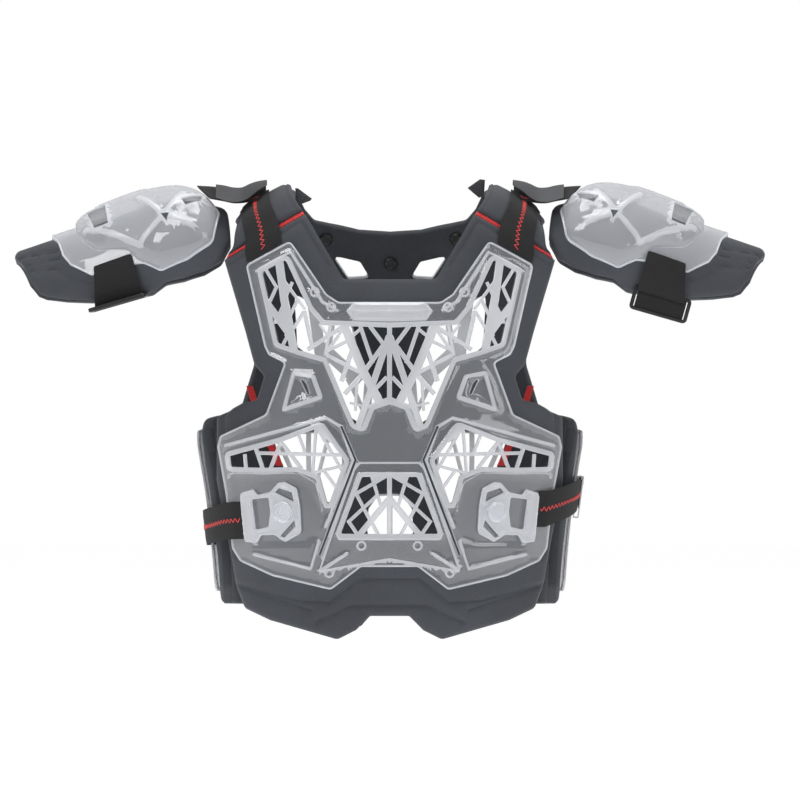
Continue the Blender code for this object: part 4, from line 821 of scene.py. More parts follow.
def buildFront():
    pad, plate = frontPad, frontPlate
    upper, lower = [rounded(mirrored(plate[k]), 3) for k in ("upperWindow", "lowerWindow")]
    sides = bothSides([rounded(plate["sideWindow"], 3)])
    padLoop = rounded(mirrored(pad["outline"]))
    padWindows = [inset(loop, -1.0) for loop in [upper, lower] + sides]
    lines = bothLines(pad["grooves"])
    height = cushion([padLoop] + padWindows, guard["padThickness"], pad["edgeShare"], pad["rounding"])
    height = grooved(height, lines, pad["grooveDepth"], pad["grooveWidth"])
    strips = lines + [beside(line, d) for line in lines for d in (-2.4, 2.4)]
    rims = [inset(padLoop, d) for d in (1.5, 3.2, 6.0)]
    moulded("frontPad", lambda s: onFront(s, padSeen), padLoop, 0.0, height, foamCloth, padWindows, guides=rims,
            lines=strips, grid=7, edge=1.2, nodes=["front_pad"], slot="foam", padded=1.0, sharp=60)

    plateLoop = rounded(mirrored(plate["outline"]))
    slits = bothSides([slit(plate["flexSlit"]), rounded(plate["scoopSlot"])])
    scoops, floors = [bothSides([rounded(plate[k])]) for k in ("scoop", "scoopFloor")]
    pockets = bothSides([rounded(plate["pocket"])])
    bar = [rounded(mirrored(plate["centreBar"]), 4)]
    panel = [rounded(mirrored(plate["panel"]), 3)]
    frames = [upper, lower] + sides
    ridges = bothLines(plate["ridges"])
    marks = [circle(x * way, y, plate["markRadius"]) for x, y in plate["marks"] for way in (-1, 1)]
    rim = plate["rimHeight"]
    low = plateLow + guard["plateWall"]

    def top(spots):
        near = distanceTo(frames, spots)
        within = insideOf([upper], spots) | insideOf([lower], spots) | insideOf(sides, spots)
        raised = rim * np.where(within, 1, smoothStep((plate["rimWidth"] - near) / 3.2))
        for loops, rise, ramp in ((bar, rim * 2, 3.0), (panel, rim * 0.6, 2.0), (scoops, rim * 1.5, 4.0)):
            inside = insideOf(loops, spots)
            raised = np.where(inside, np.maximum(raised, rise * smoothStep(distanceTo(loops, spots) / ramp)), raised)
        floor = insideOf(floors, spots)
        raised = np.where(floor, raised - rim * 1.7 * smoothStep(distanceTo(floors, spots) / 4.5), raised)
        pocket = insideOf(pockets, spots)
        raised = np.where(pocket & (raised < 1e-5), -plate["pocketDepth"]
                          * smoothStep(distanceTo(pockets, spots) / 2.5), raised)
        for line in ridges:
            raised = raised + 0.0010 * np.exp(-(distanceTo([line], spots, closed=False) / 1.5) ** 2)
        raised = raised + 0.0007 * np.exp(-(distanceTo(marks, spots) / 0.9) ** 2)
        lip = distanceTo([plateLoop], spots)
        return low + np.maximum(raised, -plate["pocketDepth"]) + 0.0006 * smoothStep(1 - (lip - 1.5) / 2.0)

    def frostAndGlare(spots):
        # frosted finish over the lattices and window frames; painted highlight along ridges, marks, pocket edges, the
        # panel edge and the plate's edge lip
        frame = (distanceTo(frames, spots) < 4.62) | insideOf([upper], spots) | insideOf([lower], spots)
        scooped = insideOf(scoops, spots) & (distanceTo(scoops, spots) < 4) | insideOf(bar, spots)
        lines = (distanceTo(ridges, spots, closed=False) < 1.2) | (distanceTo(marks + pockets, spots) < 0.8)
        return frame | insideOf(sides, spots) | scooped | lines | (distanceTo([plateLoop] + panel, spots) < 1.7)

    guides = [inset(loop, -d) for loop in frames for d in (3.3, 4.6, 6.5)]
    guides += [inset(l, d) for l in marks for d in (1, -1)]
    guides += marks + scoops + [inset(l, 4) for l in scoops]
    guides += floors + [inset(l, 4.5) for l in floors] + pockets + [inset(l, 2.5) for l in pockets]
    guides += bar + [inset(l, 3) for l in bar] + panel + [inset(l, 2) for l in panel]
    guides += [inset(plateLoop, d) for d in (1.7, 3.5)]
    strips = [l for line in ridges for l in (line, beside(line, 1.6), beside(line, -1.6))]
    moulded("frontPlate", lambda s: onFront(s, low), plateLoop, lambda s: top(s) - guard["plateWall"], top, clearSheet,
            [upper, lower] + sides + slits, bars(plate["upperBars"] + plate["sideBars"] + plate["lowerBars"]),
            guides, strips, grid=6, longest=3.0, edge=0.6, frostAndGlare=frostAndGlare, nodes=["front_shell"], slot="clear_plastic")
    print("front done")


# Back pad and plate: steps round the body from the middle of the back, steps down, corner radius

backPad = {
    "outline": [
        (0, 45, 0), (29, 43, 6), (47, 37.5, 6), (70, 33, 8), (78, 22, 6), (84, 5, 0), (142, 38, 0),
        (140, 110, 20), (144, 175, 20), (164, 222, 10), (232, 229, 0), (258, 238, 8), (276, 262, 10),
        (279, 330, 0), (268, 396, 12), (246, 413, 8), (150, 414, 0), (110, 424, 0), (60, 440, 8),
        (35, 436, 4), (20, 422, 4), (0, 422, 0),
    ],
    "grooves": [
        [(0, 120), (0, 200)], [(60, 96), (28, 120), (24, 170), (0, 196)],
        [(120, 60), (118, 110), (120, 180), (146, 232)],
        [(146, 232), (236, 238), (262, 262), (264, 330), (254, 390)],
        [(0, 392), (28, 392), (56, 415), (100, 408), (150, 398)],
    ],
    "grooveDepth": 0.0022, "grooveWidth": 2.2, "rounding": 6.0, "edgeShare": 0.5,
}
backPlate = {
    "outline": [
        (0, 60, 0), (45, 58, 8), (73, 52, 8), (87, 26, 8), (130, 50, 6), (128, 110, 20), (132, 178, 20),
        (152, 234, 10), (240, 240, 10), (266, 262, 10), (268, 330, 0), (258, 388, 10), (236, 400, 8),
        (150, 402, 0), (100, 411, 0), (52, 426, 6), (24, 408, 4), (0, 408, 0),
    ],
    "neckWindow": [(55, 67, 3), (30, 73, 3), (21, 89, 3), (41, 90, 3)],
    "upperWindow": [
        (97, 104, 5), (71, 120, 5), (39, 138, 5), (32, 176, 4), (10, 206, 3), (11, 230, 3), (26, 236, 3),
        (49, 222, 5), (67, 178, 5), (97, 156, 5),
    ],
    "sideWindow": [(128, 246, 5), (52, 240, 5), (50, 300, 5), (62, 314, 4), (112, 296, 5)],
    "lowerWindow": [(0, 304, 0), (14, 305, 6), (24, 318, 5), (26, 344, 4), (0, 345, 0)],
    "bars": [
        (77, 110, 69, 182, 11), (56, 122, 67, 182, 6), (67, 160, 34, 190, 13), (43, 190, 20, 236, 5),
        (22, 190, 26, 234, 9), (118, 242, 96, 302, 5), (84, 240, 88, 308, 5), (62, 240, 84, 306, 4),
        (0, 302, 0, 348, 5),
    ],
    "spine": [(0, 112, 0), (14, 112, 4), (10, 190, 4), (14, 270, 4), (0, 290, 0)],
    "rimHeight": 0.0014, "rimWidth": 6.0,
}
neckStuds = {"places": {"left": (-64.5, 49.3), "centre": (0.3, 73.3), "right": (66.3, 48.6)},
             "radius": 0.0070, "height": 0.0035}
sideTape = {"rows": [(158, 196), (149, 222), (137, 248), (125, 276)], "width": 9, "wall": 0.0010}


def studPlace(across, down):
    around = across
    for _ in range(8):
        base = onRing([(around, down)])[0][0]
        around += (seen(across, down, base[1])[0] - base[0]) / step * 0.8
    return around, down


def buildBack():
    pad, plate = backPad, backPlate
    windows = bothSides([rounded(plate[k], 3) for k in ("neckWindow", "upperWindow", "sideWindow")])
    windows.append(rounded(mirrored(plate["lowerWindow"]), 3))
    padLoop = rounded(mirrored(pad["outline"]))
    padWindows = [inset(loop, -1.0) for loop in windows]
    lines = bothLines(pad["grooves"])
    height = cushion([padLoop] + padWindows, guard["padThickness"], pad["edgeShare"], pad["rounding"])
    height = grooved(height, lines, pad["grooveDepth"], pad["grooveWidth"])
    strips = lines + [beside(line, d) for line in lines for d in (-2.4, 2.4)]
    made = moulded("backPad", onRing, padLoop, 0.0, height, foamCloth, padWindows,
                   guides=[inset(padLoop, d) for d in (1.5, 3.2, 6.0)], lines=strips, grid=8, edge=1.2,
                   nodes=["back_pad"], slot="foam", padded=1.0, sharp=60)
    lineAndShadeInside(made)
    plateLoop = rounded(mirrored(plate["outline"]))
    spine = [rounded(mirrored(plate["spine"]), 4)]
    low = plateLow + guard["plateWall"]

    def top(spots):
        near = distanceTo(windows, spots)
        raised = plate["rimHeight"] * np.where(insideOf(windows, spots), 1, smoothStep((plate["rimWidth"] - near) / 3))
        inside = insideOf(spine, spots)
        bump = plate["rimHeight"] * 1.2 * smoothStep(distanceTo(spine, spots) / 3)
        raised = np.where(inside, np.maximum(raised, bump), raised)
        return low + raised + 0.0006 * smoothStep(1 - (distanceTo([plateLoop], spots) - 1.5) / 2.0)

    def frostAndGlare(spots):
        # frosted finish on the window frames and lattices; painted highlight along the plate's edge lip
        framed = (distanceTo(windows, spots) < 5.9) | insideOf(windows, spots)
        return framed | (distanceTo([plateLoop], spots) < 3.4)

    guides = [inset(loop, -d) for loop in windows for d in (3, 6)] + spine + [inset(l, 3) for l in spine]
    guides += [inset(plateLoop, d) for d in (1.7, 3.5)]
    moulded("backPlate", onRing, plateLoop, lambda s: top(s) - guard["plateWall"], top, clearSheet, windows,
            bars(plate["bars"]), guides, grid=8, longest=3.5, edge=0.6, frostAndGlare=frostAndGlare, nodes=["back_shell"],
            slot="clear_plastic")
    for word, spot in neckStuds["places"].items():
        base, normal = [v[0] for v in onRing([studPlace(*spot)])]
        radius, height = neckStuds["radius"], neckStuds["height"]
        profile = [(radius * 0.9, 0), (radius, 0.0004), (radius, 0.0011), (radius * 0.93, 0.0018)]
        profile += [(radius * 0.93 * math.cos(a), 0.0018 + (height - 0.0018) * math.sin(a))
                    for a in (math.radians(15 * k) for k in range(1, 6))]
        turnedSolid("neckStud_" + word, profile, base - normal * 2 * guard["seam"], -normal, 40, blackPlastic,
                    nodes=["neck_stud_" + word], slot="black_plastic", sharp=60)
    for side, word in ((-1, "left"), (1, "right")):
        around = np.linspace(0, 1, 12) * (len(sideTape["rows"]) - 1)
        rows = curve([(i, *r) for i, r in enumerate(sideTape["rows"])], around)
        grid = []
        for a, d in rows:
            edges = [(a + e * sideTape["width"], d) for e in (-0.5, -0.25, 0, 0.25, 0.5)]
            base, normal = onRing(edges)
            grid.append(base - normal * (sideTape["wall"] / 2 + 0.0012))
        sweep("sideTape_" + word, grid, sideTape["wall"], redCloth, side, nodes=["side_tape_" + word], slot="red_tape")
    print("back done")


def lineAndShadeInside(pad):
    # the inside of a pad takes the darker lining cloth: black lining, and painted shade where the inner side lies in
    # shadow
    pad.data.materials.append(liningAndShadeCloth)
    for face in pad.data.polygons:
        centre, normal = face.center, face.normal
        if normal.x * centre.x + normal.y * centre.y < 0 and abs(normal.z) < 0.9:
            face.material_index = 1


# Shoulder bridges: share along, share of the half depth, inner across and down, outer across and down

bridge = {
    "rows": [(0.22, -0.52, 93, 12, 150, 50), (0.40, -0.22, 96, 4, 146, 36),
             (0.60, 0.15, 96, 4, 145, 34), (0.80, 0.48, 95, 9, 150, 39)],
    "front": ((84.3, 24.6), (164.7, 70.2)), "back": ((84, 4), (142, 37)),
    "width": 72, "length": 165, "crown": 0.003,
}


def bridgeTable():
    rows = [(0.0, *onFront([bridge["front"][0]], padSeen)[0][0], *onFront([bridge["front"][1]], padSeen)[0][0])]
    for share, back, innerAcross, innerDown, outerAcross, outerDown in bridge["rows"]:
        y = back * halfDepth
        innerX, innerZ = seen(innerAcross, innerDown, y)
        outerX, outerZ = seen(outerAcross, outerDown, y)
        rows.append((share, innerX, y, innerZ, outerX, y, outerZ))
    rows.append((1.0, *onRing([bridge["back"][0]])[0][0], *onRing([bridge["back"][1]])[0][0]))
    return np.array(rows)


bridgeRows = bridgeTable()


def seamBulge(ends, place):
    shares = np.linspace(0, 1, 41)[:, None]
    ends = np.array(ends, float)
    spots = ends[0] + (ends[1] - ends[0]) * shares
    tips = place(ends)[0]
    return place(spots)[0] - (tips[0] + (tips[1] - tips[0]) * shares)


frontBulge = seamBulge(bridge["front"], lambda s: onFront(s, padSeen))
backBulge = seamBulge(bridge["back"], onRing)


def bridgePoint(share, along):
    row = curve(bridgeRows, along)
    middle = row[:, :3] + (row[:, 3:] - row[:, :3]) * share[:, None]
    for bulge, near in ((frontBulge, 1 - along / 0.3), (backBulge, 1 - (1 - along) / 0.3)):
        shift = np.stack([np.interp(share, np.linspace(0, 1, 41), bulge[:, k]) for k in range(3)], 1)
        middle = middle + shift * (np.maximum(near, 0) ** 2)[:, None]
    crown = bridge["crown"] * 4 * share * (1 - share) * np.sin(np.pi * np.clip(along, 0, 1))
    middle[:, 2] += crown
    return middle


def onBridge(spots):
    spots = np.atleast_2d(np.asarray(spots, float))
    share, along = spots[:, 0] / bridge["width"], spots[:, 1] / bridge["length"]
    base = bridgePoint(share, along)
    sideways = bridgePoint(share + 0.03, along) - bridgePoint(share - 0.03, along)
    lengthways = bridgePoint(share, along + 0.02) - bridgePoint(share, along - 0.02)
    normal = unit(np.cross(sideways, lengthways))
    for near, ends, place in ((1 - along / 0.2, bridge["front"], onFront),
                              (1 - (1 - along) / 0.2, bridge["back"], onRing)):
        ends = np.array(ends, float)
        seam = ends[0] + (ends[1] - ends[0]) * np.clip(share, 0, 1)[:, None]
        near = np.clip(near, 0, 1)[:, None]
        normal = normal * (1 - near) + place(seam, padSeen)[1] * near
    return base, unit(normal)


shoulderStrap = {"rows": [(9, 0.31, 0.72), (38, 0.35, 0.82), (85, 0.37, 0.86), (158, 0.37, 0.86)],
                 "gap": 0.0011, "foot": ((108.0, 52.5), (142.8, 72.0))}
linkStrap = {
    "rows": [
        (124, -0.36, 5, 124, 0.10, -5.5), (134, -0.40, 10, 134, 0.09, -2.6), (145, -0.42, 12.5, 148, 0.08, -0.5),
        (156, -0.42, 13, 162, 0.06, -0.8), (166, -0.40, 11, 176, 0.05, -3), (175, -0.38, 9.4, 188, 0.04, -3.8),
    ],
    "reach": {-1: 5.2, 1: 3.0},
}
linkFlap = {
    "rows": [
        (174, -0.41, 7.6, 174, -0.04, -5.4), (166, -0.43, 10.2, 166, -0.04, -4.4), (157, -0.45, 12, 157, -0.04, -2.4),
        (148, -0.45, 11.2, 148, -0.04, -2.4), (140, -0.44, 7, 140, -0.04, -6), (132, -0.40, 0.5, 132, -0.04, -8.6),
        (123, -0.35, -5, 123, -0.04, -9.5),
    ],
    "wall": 0.0015,
}
collarTabs = {
    -1: [(95, -1.7), (92.3, -1.9), (78, 8.6), (80, 10.8), (92.3, 15.3)],
    1: [(77.5, -2), (90, -10.7), (95, -10), (94, 6), (89, 7.8)],
}


def zigzag(points, normals, sideways, width, pitch, lift):
    # a zig-zag of thread laid along a line of points
    lengths = np.concatenate([[0], np.cumsum(np.linalg.norm(np.diff(points, axis=0), axis=1))])
    count = int(lengths[-1] / (pitch / 2))
    at = np.linspace(0, lengths[-1], count * 4 + 1)
    place = [np.stack([np.interp(at, lengths, v[:, k]) for k in range(3)], 1) for v in (points, normals, sideways)]
    wave = np.abs((at / (pitch / 2)) % 2 - 1) * 2 - 1
    return place[0] + unit(place[1]) * lift + unit(place[2]) * (wave * width / 2)[:, None]


def stitchesOn(name, rows, side, width=0.0042, pitch=0.0052, at=0.5, flip=1, radius=0.00042, trim=1):
    rows = np.array(rows)[trim:-trim]
    k = at * (rows.shape[1] - 1)
    low = int(k)
    points = rows[:, low] * (1 - (k - low)) + rows[:, min(low + 1, rows.shape[1] - 1)] * (k - low)
    sideways = unit(rows[:, -1] - rows[:, 0])
    normals = unit(np.cross(np.gradient(points, axis=0), sideways)) * flip
    path = zigzag(points, normals, sideways, width, pitch, guard["webWall"] / 2 + radius * 0.4)
    tubes(name, [path], radius, redThread, 5, side, slot="red_tape")


def fineRows(table, count):
    table = np.array(table, float)
    index = np.column_stack([np.arange(len(table)), table])
    return curve(index, np.linspace(0, len(table) - 1, count))


def acrossEdges(first, second, count=5, sag=0.0):
    t = np.linspace(0, 1, count)[None, :, None]
    rows = first[:, None] * (1 - t) + second[:, None] * t
    rows[..., 2] -= sag * 4 * (t * (1 - t))[..., 0]
    return rows


def strapFoot(joined):
    # rows on the front pad, from under the plate's top edge up to the strap's first row
    (innerAcross, innerDown), (outerAcross, outerDown) = shoulderStrap["foot"]
    lift = guard["padThickness"] + 0.0002 + guard["webWall"] / 2
    shares = np.linspace(0, 1, 9)[:, None]
    spots = np.array((innerAcross, innerDown)) * (1 - shares) + np.array((outerAcross, outerDown)) * shares
    base, normal = onFront(spots, lift)
    foot = base + normal * lift
    upper = onFront(spots - (-1.5, 11), lift)
    upper = upper[0] + upper[1] * (lift + 0.0008)
    return [foot + (upper - foot) * t for t in (0, 0.33, 0.66, 1)] + [upper + (joined - upper) * t for t in (0.4, 0.75)]


def buildShoulder(side, word):
    tapeLoop = np.array([(0.5, 1.2), (bridge["width"] - 0.5, 1.2), (bridge["width"] - 0.5, 7.4), (0.5, 7.4)])
    moulded("shoulderTape_" + word, onBridge, turned(tapeLoop), 0.0016, 0.0080, redCloth, side=side, grid=4,
            longest=4, edge=0.5, nodes=["shoulder_tape_" + word], slot="red_tape", sharp=50)
    across = np.linspace(1.2, bridge["width"] - 1.2, 240)
    base, normal = onBridge(np.stack([across, np.full(240, 4.3)], 1))
    wave = np.abs((across / 1.3) % 2 - 1) * 2 - 1
    along = onBridge(np.stack([across, np.full(240, 5.3)], 1))[0] - base
    tubes("shoulderTapeThread_" + word, [base + normal * 0.0082 + along * (wave * 2.8)[:, None]], 0.00045, redThread,
          5, side, slot="red_tape")
    padLoop = rounded([(0, 8.2, 3), (bridge["width"], 8.2, 3), (bridge["width"], bridge["length"] - 1, 3),
                       (0, bridge["length"] - 1, 3)])
    height = cushion([padLoop], guard["padThickness"], 0.5, 6.0)
    seams = [np.array([(0, 96), (bridge["width"], 96)], float), np.array([(5, 12), (5, 160)], float),
             np.array([(bridge["width"] - 5, 12), (bridge["width"] - 5, 160)], float)]
    moulded("shoulderBridge_" + word, onBridge, padLoop, 0.0, grooved(height, seams, 0.0018, 1.6), foamCloth,
            guides=[inset(padLoop, d) for d in (1.5, 3.2, 6.0)], lines=seams, side=side, grid=6, edge=1.2,
            nodes=["shoulder_bridge_" + word], slot="foam", padded=1.0, sharp=60)
    lift = guard["padThickness"] + shoulderStrap["gap"] + guard["webWall"] / 2
    rows = []
    for along in np.linspace(shoulderStrap["rows"][0][0], shoulderStrap["rows"][-1][0], 44):
        inner, outer = curve(shoulderStrap["rows"], along)[0]
        shares = np.linspace(inner, outer, 9)
        base, normal = onBridge([(s * bridge["width"], along) for s in shares])
        rows.append(base + normal * lift)
    rows = strapFoot(rows[0]) + rows
    sweep("shoulderStrap_" + word, rows, guard["webWall"], webbing, side, nodes=["shoulder_strap_" + word],
          slot="black_webbing")
    stitchesOn("shoulderStitch_" + word, rows, side, width=0.005, flip=stitchFlip(rows, side), at=0.5)
    link = fineRows(linkStrap["rows"], 36)
    front = np.stack([*seenRow(link[:, 0], link[:, 1], link[:, 2])], 1)
    back = np.stack([*seenRow(link[:, 3], link[:, 4], link[:, 5])], 1)
    front = np.vstack([front, front[-1] + unit(front[-1] - front[-2]) * linkStrap["reach"][side] * step])
    back = np.vstack([back, back[-1] + unit(back[-1] - back[-2]) * linkStrap["reach"][side] * step])
    rows = acrossEdges(front, back, 7)
    sweep("linkStrap_" + word, rows, guard["webWall"], webbing, side, nodes=["link_strap_" + word],
          slot="black_webbing")
    for k, (first, last) in enumerate(((4, 12), (24, 32))):
        stitchesOn("linkStitch_%s_%d" % (word, k), rows[first:last], side, flip=stitchFlip(rows, side), at=0.12,
                   width=0.003, pitch=0.004)
    flap = fineRows(linkFlap["rows"], 40)
    front = np.stack([*seenRow(flap[:, 0], flap[:, 1], flap[:, 2])], 1)
    back = np.stack([*seenRow(flap[:, 3], flap[:, 4], flap[:, 5])], 1)
    rows = acrossEdges(front, back, 9, -0.0015)
    sweep("linkFlap_" + word, rows, linkFlap["wall"], flapLeather, side, nodes=["link_flap_" + word], slot="grey_flap")
    tabDepth = 0.25 * halfDepth
    tab = turned(np.array(collarTabs[side], float))

    def onTab(spots):
        spots = np.atleast_2d(spots)
        x, z = seen(spots[:, 0], spots[:, 1], tabDepth)
        curl = 0.0022 * np.sin((spots[:, 1] + 4) / 9.0)
        return np.stack([x, tabDepth + curl, z], 1), np.tile((0.0, -1.0, 0.0), (len(spots), 1))
    moulded("collarTab_" + word, onTab, tab, 0.0, 0.0015, flapLeather, side=side, grid=3, longest=3, edge=0.4,
            nodes=["collar_tab_" + word], slot="grey_flap", sharp=50)
    print("shoulder", word, "done")


def seenRow(across, share, down):
    y = share * halfDepth
    x, z = seen(across, down, y)
    return x, y, z


def stitchFlip(rows, side):
    # 1 or -1, so that thread lies on the outer face of the strap
    rows = np.array(rows)
    middle = len(rows) // 2
    normal = np.cross(rows[middle + 1, 0] - rows[middle, 0], rows[middle, -1] - rows[middle, 0])
    out = rows[middle].mean(0) - np.array((0, 0, -0.2))
    return 1 if normal @ out > 0 else -1


# Waist straps and buckles: steps round, steps down of the top edge and the foot edge

waist = {
    -1: [(178, 322, 355), (216, 322, 355), (252, 321, 355), (290, 318, 353), (318, 313, 350), (332, 312, 349)],
    1: [(178, 286, 318), (216, 286, 318), (252, 287, 319), (290, 292, 326), (318, 298, 333), (332, 301, 337)],
    "lift": stack + 0.0046, "sliderAt": 261, "sliderBar": 0.0016, "sliderLength": 0.008,
}
buckle = {
    "outline": [
        (150.2, 307, 0), (149, 303, 3), (138.2, 299.7, 0), (133.9, 305.2, 2), (120.1, 302.3, 2),
        (111.5, 292.8, 2), (105.7, 292.1, 2), (94, 298.5, 3), (90.4, 316.7, 0), (89.2, 340.6, 0),
        (90.4, 344, 3), (104.8, 352.1, 2), (115.3, 344.9, 2), (130.1, 345.4, 2), (133.9, 353, 2),
        (145, 352, 3), (146, 348.5, 0),
    ],
    "openings": [
        [(139.5, 309.5, 2), (121.5, 307.5, 2), (119.6, 322, 1), (121.5, 337, 2), (135.5, 340, 2)],
        [(116, 302.5, 1), (111.5, 297.8, 1), (97.5, 302.6, 1), (96, 312.5, 1)],
        [(110.8, 346.6, 1), (95.6, 329.5, 1), (94.2, 336.5, 1), (106, 348.4, 1)],
    ],
    "wall": 0.0040, "low": stack + guard["seam"], "knobAt": (108.6, 322.4), "knobRadius": 0.0104,
    "knobHeight": 0.0080, "flutes": 24,
}


def buckleEdge(down):
    (top, high, _a), (foot, low, _b) = buckle["outline"][0], buckle["outline"][-1]
    across = top + (foot - top) * np.clip((down - high) / (low - high), 0, 1) + 2 * guard["seam"] / step
    base, normal = onFront(np.stack([across, down], 1), buckle["low"] + buckle["wall"])
    return base + normal * (buckle["low"] + buckle["wall"] / 2)


def strapRow(around, downs, lift):
    base, normal = onRing([(around, d) for d in downs], lift)
    return base + normal * lift


def buildWaist(side, word):
    table = waist[side]
    rows = []
    for k in range(60):
        around = table[0][0] + (table[-1][0] - table[0][0]) * k / 59
        lift = waist["lift"] + (stack + 0.0013 - waist["lift"]) * (1 - smoothStep(k / 11))
        top, foot = curve(table, around)[0]
        rows.append(strapRow(around, np.linspace(top, foot, 7), lift))
    end = buckleEdge(np.linspace(table[-1][1], table[-1][2], 7))
    last = rows[-1]
    for k in range(1, 5):
        rows.append(last + (end - last) * k / 4)
    sweep("waistStrap_" + word, rows, guard["webWall"], webbing, side, nodes=["waist_strap_" + word],
          slot="black_webbing")
    stitchesOn("waistStitch_" + word, rows, side, flip=waistFlip(rows), width=0.0048, pitch=0.0056)
    if side > 0:
        buildSlider(table)
    low, wall = buckle["low"], buckle["wall"]
    loop = rounded(buckle["outline"], 4)
    openings = [rounded(o, 3) for o in buckle["openings"]]

    def top(spots):
        near = distanceTo([loop] + openings, spots)
        return low + wall * (0.72 + 0.28 * smoothStep(1 - (near - 2.0) / 1.6))
    moulded("waistBuckle_" + word, lambda s: onFront(s, low + wall), loop, low, top, clearBuckle, openings,
            guides=[inset(loop, 2.0), inset(loop, 3.6)] + [inset(o, -2.0) for o in openings], side=side, grid=3,
            longest=2.5, edge=0.6, nodes=["waist_buckle_" + word], slot="clear_plastic")
    base, normal = [v[0] for v in onFront([buckle["knobAt"]], low + wall + buckle["knobHeight"])]
    centre = base + normal * (low + wall + guard["seam"])
    r, h = buckle["knobRadius"], buckle["knobHeight"]
    profile = [(r * 0.94, 0), (r, h * 0.08), (r, h * 0.66), (r * 0.95, h * 0.76), (r * 0.84, h * 0.79),
               (r * 0.78, h * 0.94), (r * 0.7, h), (r * 0.4, h), (r * 0.34, h * 0.9), (r * 0.05, h * 0.88)]
    centre, normal = centre * (side, 1, 1), normal * (side, 1, 1)
    turnedSolid("buckleKnob_" + word, profile, centre, normal, 144, clearKnob, flutes=buckle["flutes"],
                fluteDepth=0.06, nodes=["buckle_knob_" + word], slot="clear_plastic", sharp=30)
    print("waist", word, "done")


def waistFlip(rows):
    rows = np.array(rows)
    middle = len(rows) // 2
    normal = np.cross(rows[middle + 1, 0] - rows[middle, 0], rows[middle, -1] - rows[middle, 0])
    out = rows[middle].mean(0) * (1, 1, 0)
    return 1 if normal @ out > 0 else -1


def buildSlider(table):
    at = waist["sliderAt"]
    top, foot = curve(table, at)[0]
    base, out = [v[0] for v in onRing([(at, (top + foot) / 2)])]
    ends = onRing([(at, top), (at, foot)], waist["lift"])[0]
    tall = ends[0] - ends[1]
    wide = unit(tall - out * (tall @ out))
    bar = waist["sliderBar"]
    length = np.linalg.norm(tall) + 2 * (bar + 8 * guard["seam"])
    height = 2 * bar + guard["webWall"] + 4 * guard["seam"]
    softRing("strapSlider", base + out * waist["lift"], wide, out, length, height, bar, waist["sliderLength"],
             clearBuckle, 0.0018, nodes=["strap_slider_right"], slot="clear_plastic")
    lift = waist["lift"] + guard["webWall"] + 1.3 * guard["seam"]
    tail = []
    for k in range(9):
        around = at - waist["sliderLength"] / step / 2 - 1.5 - 2 * k
        top, foot = curve(table, around)[0]
        tail.append(strapRow(around, np.linspace(top, foot, 7), lift))
    sweep("strapEnd", tail, guard["webWall"], webbing, nodes=["strap_end_right"], slot="black_webbing")


# Arm guards: steps across, steps down of the top line, shares of the radius for height and depth

arm = {
    "rows": [
        (385, 66, 0.90, 0.80), (338, 50, 0.96, 0.88), (296, 36, 1.00, 0.95), (260, 22, 1.04, 1.00),
        (234, 14, 1.08, 1.04), (205, 11, 1.12, 1.08), (175, 16, 1.12, 1.08), (145, 26, 1.08, 1.04),
    ],
    "radius": 0.062, "quarter": 100, "liftRight": 3.0,
    "padFront": [
        (375.9, 64.7, 3), (360.6, 90, 0), (351, 103.4, 6), (343, 107.2, 0), (322.3, 110.1, 0),
        (295.5, 111.5, 20), (242.9, 105.2, 8), (236.3, 103.5, 6), (223.8, 92.8, 8), (205.6, 88.6, 14),
        (184.9, 81.2, 14), (168, 70.4, 16), (158.5, 52, 14), (157.5, 39.7, 10),
    ],
    "padInner": [(160, 22, 14), (163, 0, 0)],
    "padGrooves": [[(372, 68), (332.8, 61.3)], [(361.5, 74.7), (330.9, 68)],
                   [(358.7, 80.4), (332.8, 78.5), (317.5, 88), (295.5, 93.8)]],
    "plateFront": [
        (336.7, 52, 0), (330.9, 55.6, 5), (326.1, 68, 4), (318.5, 76.6, 4), (297.4, 86.2, 4), (262, 76, 0),
        (246, 74, 5), (228, 81.5, 8), (201.5, 70.4, 18), (176.6, 54.6, 18),
    ],
    "plateInner": [(170.5, 38, 14), (178, 24, 14), (192, 0, 0)],
    "domeFront": [
        (313, 47, 0), (303.2, 56.5, 4), (292.7, 62.3, 4), (262, 61.3, 6), (250, 71, 3), (228, 79.5, 5),
        (201.5, 68.4, 18), (178, 53.6, 18),
    ],
    "domeInner": [(172.5, 38, 14), (180, 24, 14), (193, 0, 0)],
    "windows": [
        [(226.3, 34, 0), (218, 33, 0), (220.5, 40, 0)],
        [(208, 22, 0), (189, 19, 0), (191, 24, 0), (204, 27, 0)],
        [(299, 38, 0), (279, 30, 0), (276, 44, 0), (290, 49, 0)],
    ],
    "ribs": [[(246, 58), (224, 36), (206, 18)], [(246, 22), (224, 36), (196, 44)], [(285, 25), (262, 16), (244, 14)],
             [(300, 50), (270, 52), (246, 60)]],
    "domeHeight": 0.0125, "wall": 0.0026, "ribHeight": 0.0018,
    "strap": (294.5, 257.5, 247, 84, 123), "buckleBar": 0.0032, "buckleHeight": 0.026,
}


def armPoint(across, around, lift=0.0):
    table = [(-a, b, c, d) for a, b, c, d in arm["rows"]]
    top, height, depth = curve(table, -across).T
    angle = around / arm["quarter"] * math.pi / 2
    y = -np.sin(angle) * (depth * arm["radius"] + lift)
    x = seen(across, 0, y)[0]
    z = seen(0, top, 0)[1] - height * arm["radius"] + np.cos(angle) * (height * arm["radius"] + lift)
    return np.stack([x, y, z], 1)


def onArm(spots, rise=0.0):
    spots = np.atleast_2d(np.asarray(spots, float))
    across, around = spots[:, 0], spots[:, 1]
    base = armPoint(across, around)
    outwards = armPoint(across + 1, around) - armPoint(across - 1, around)
    turning = armPoint(across, around + 1) - armPoint(across, around - 1)
    return base + (0, 0, rise), unit(np.cross(turning, outwards))


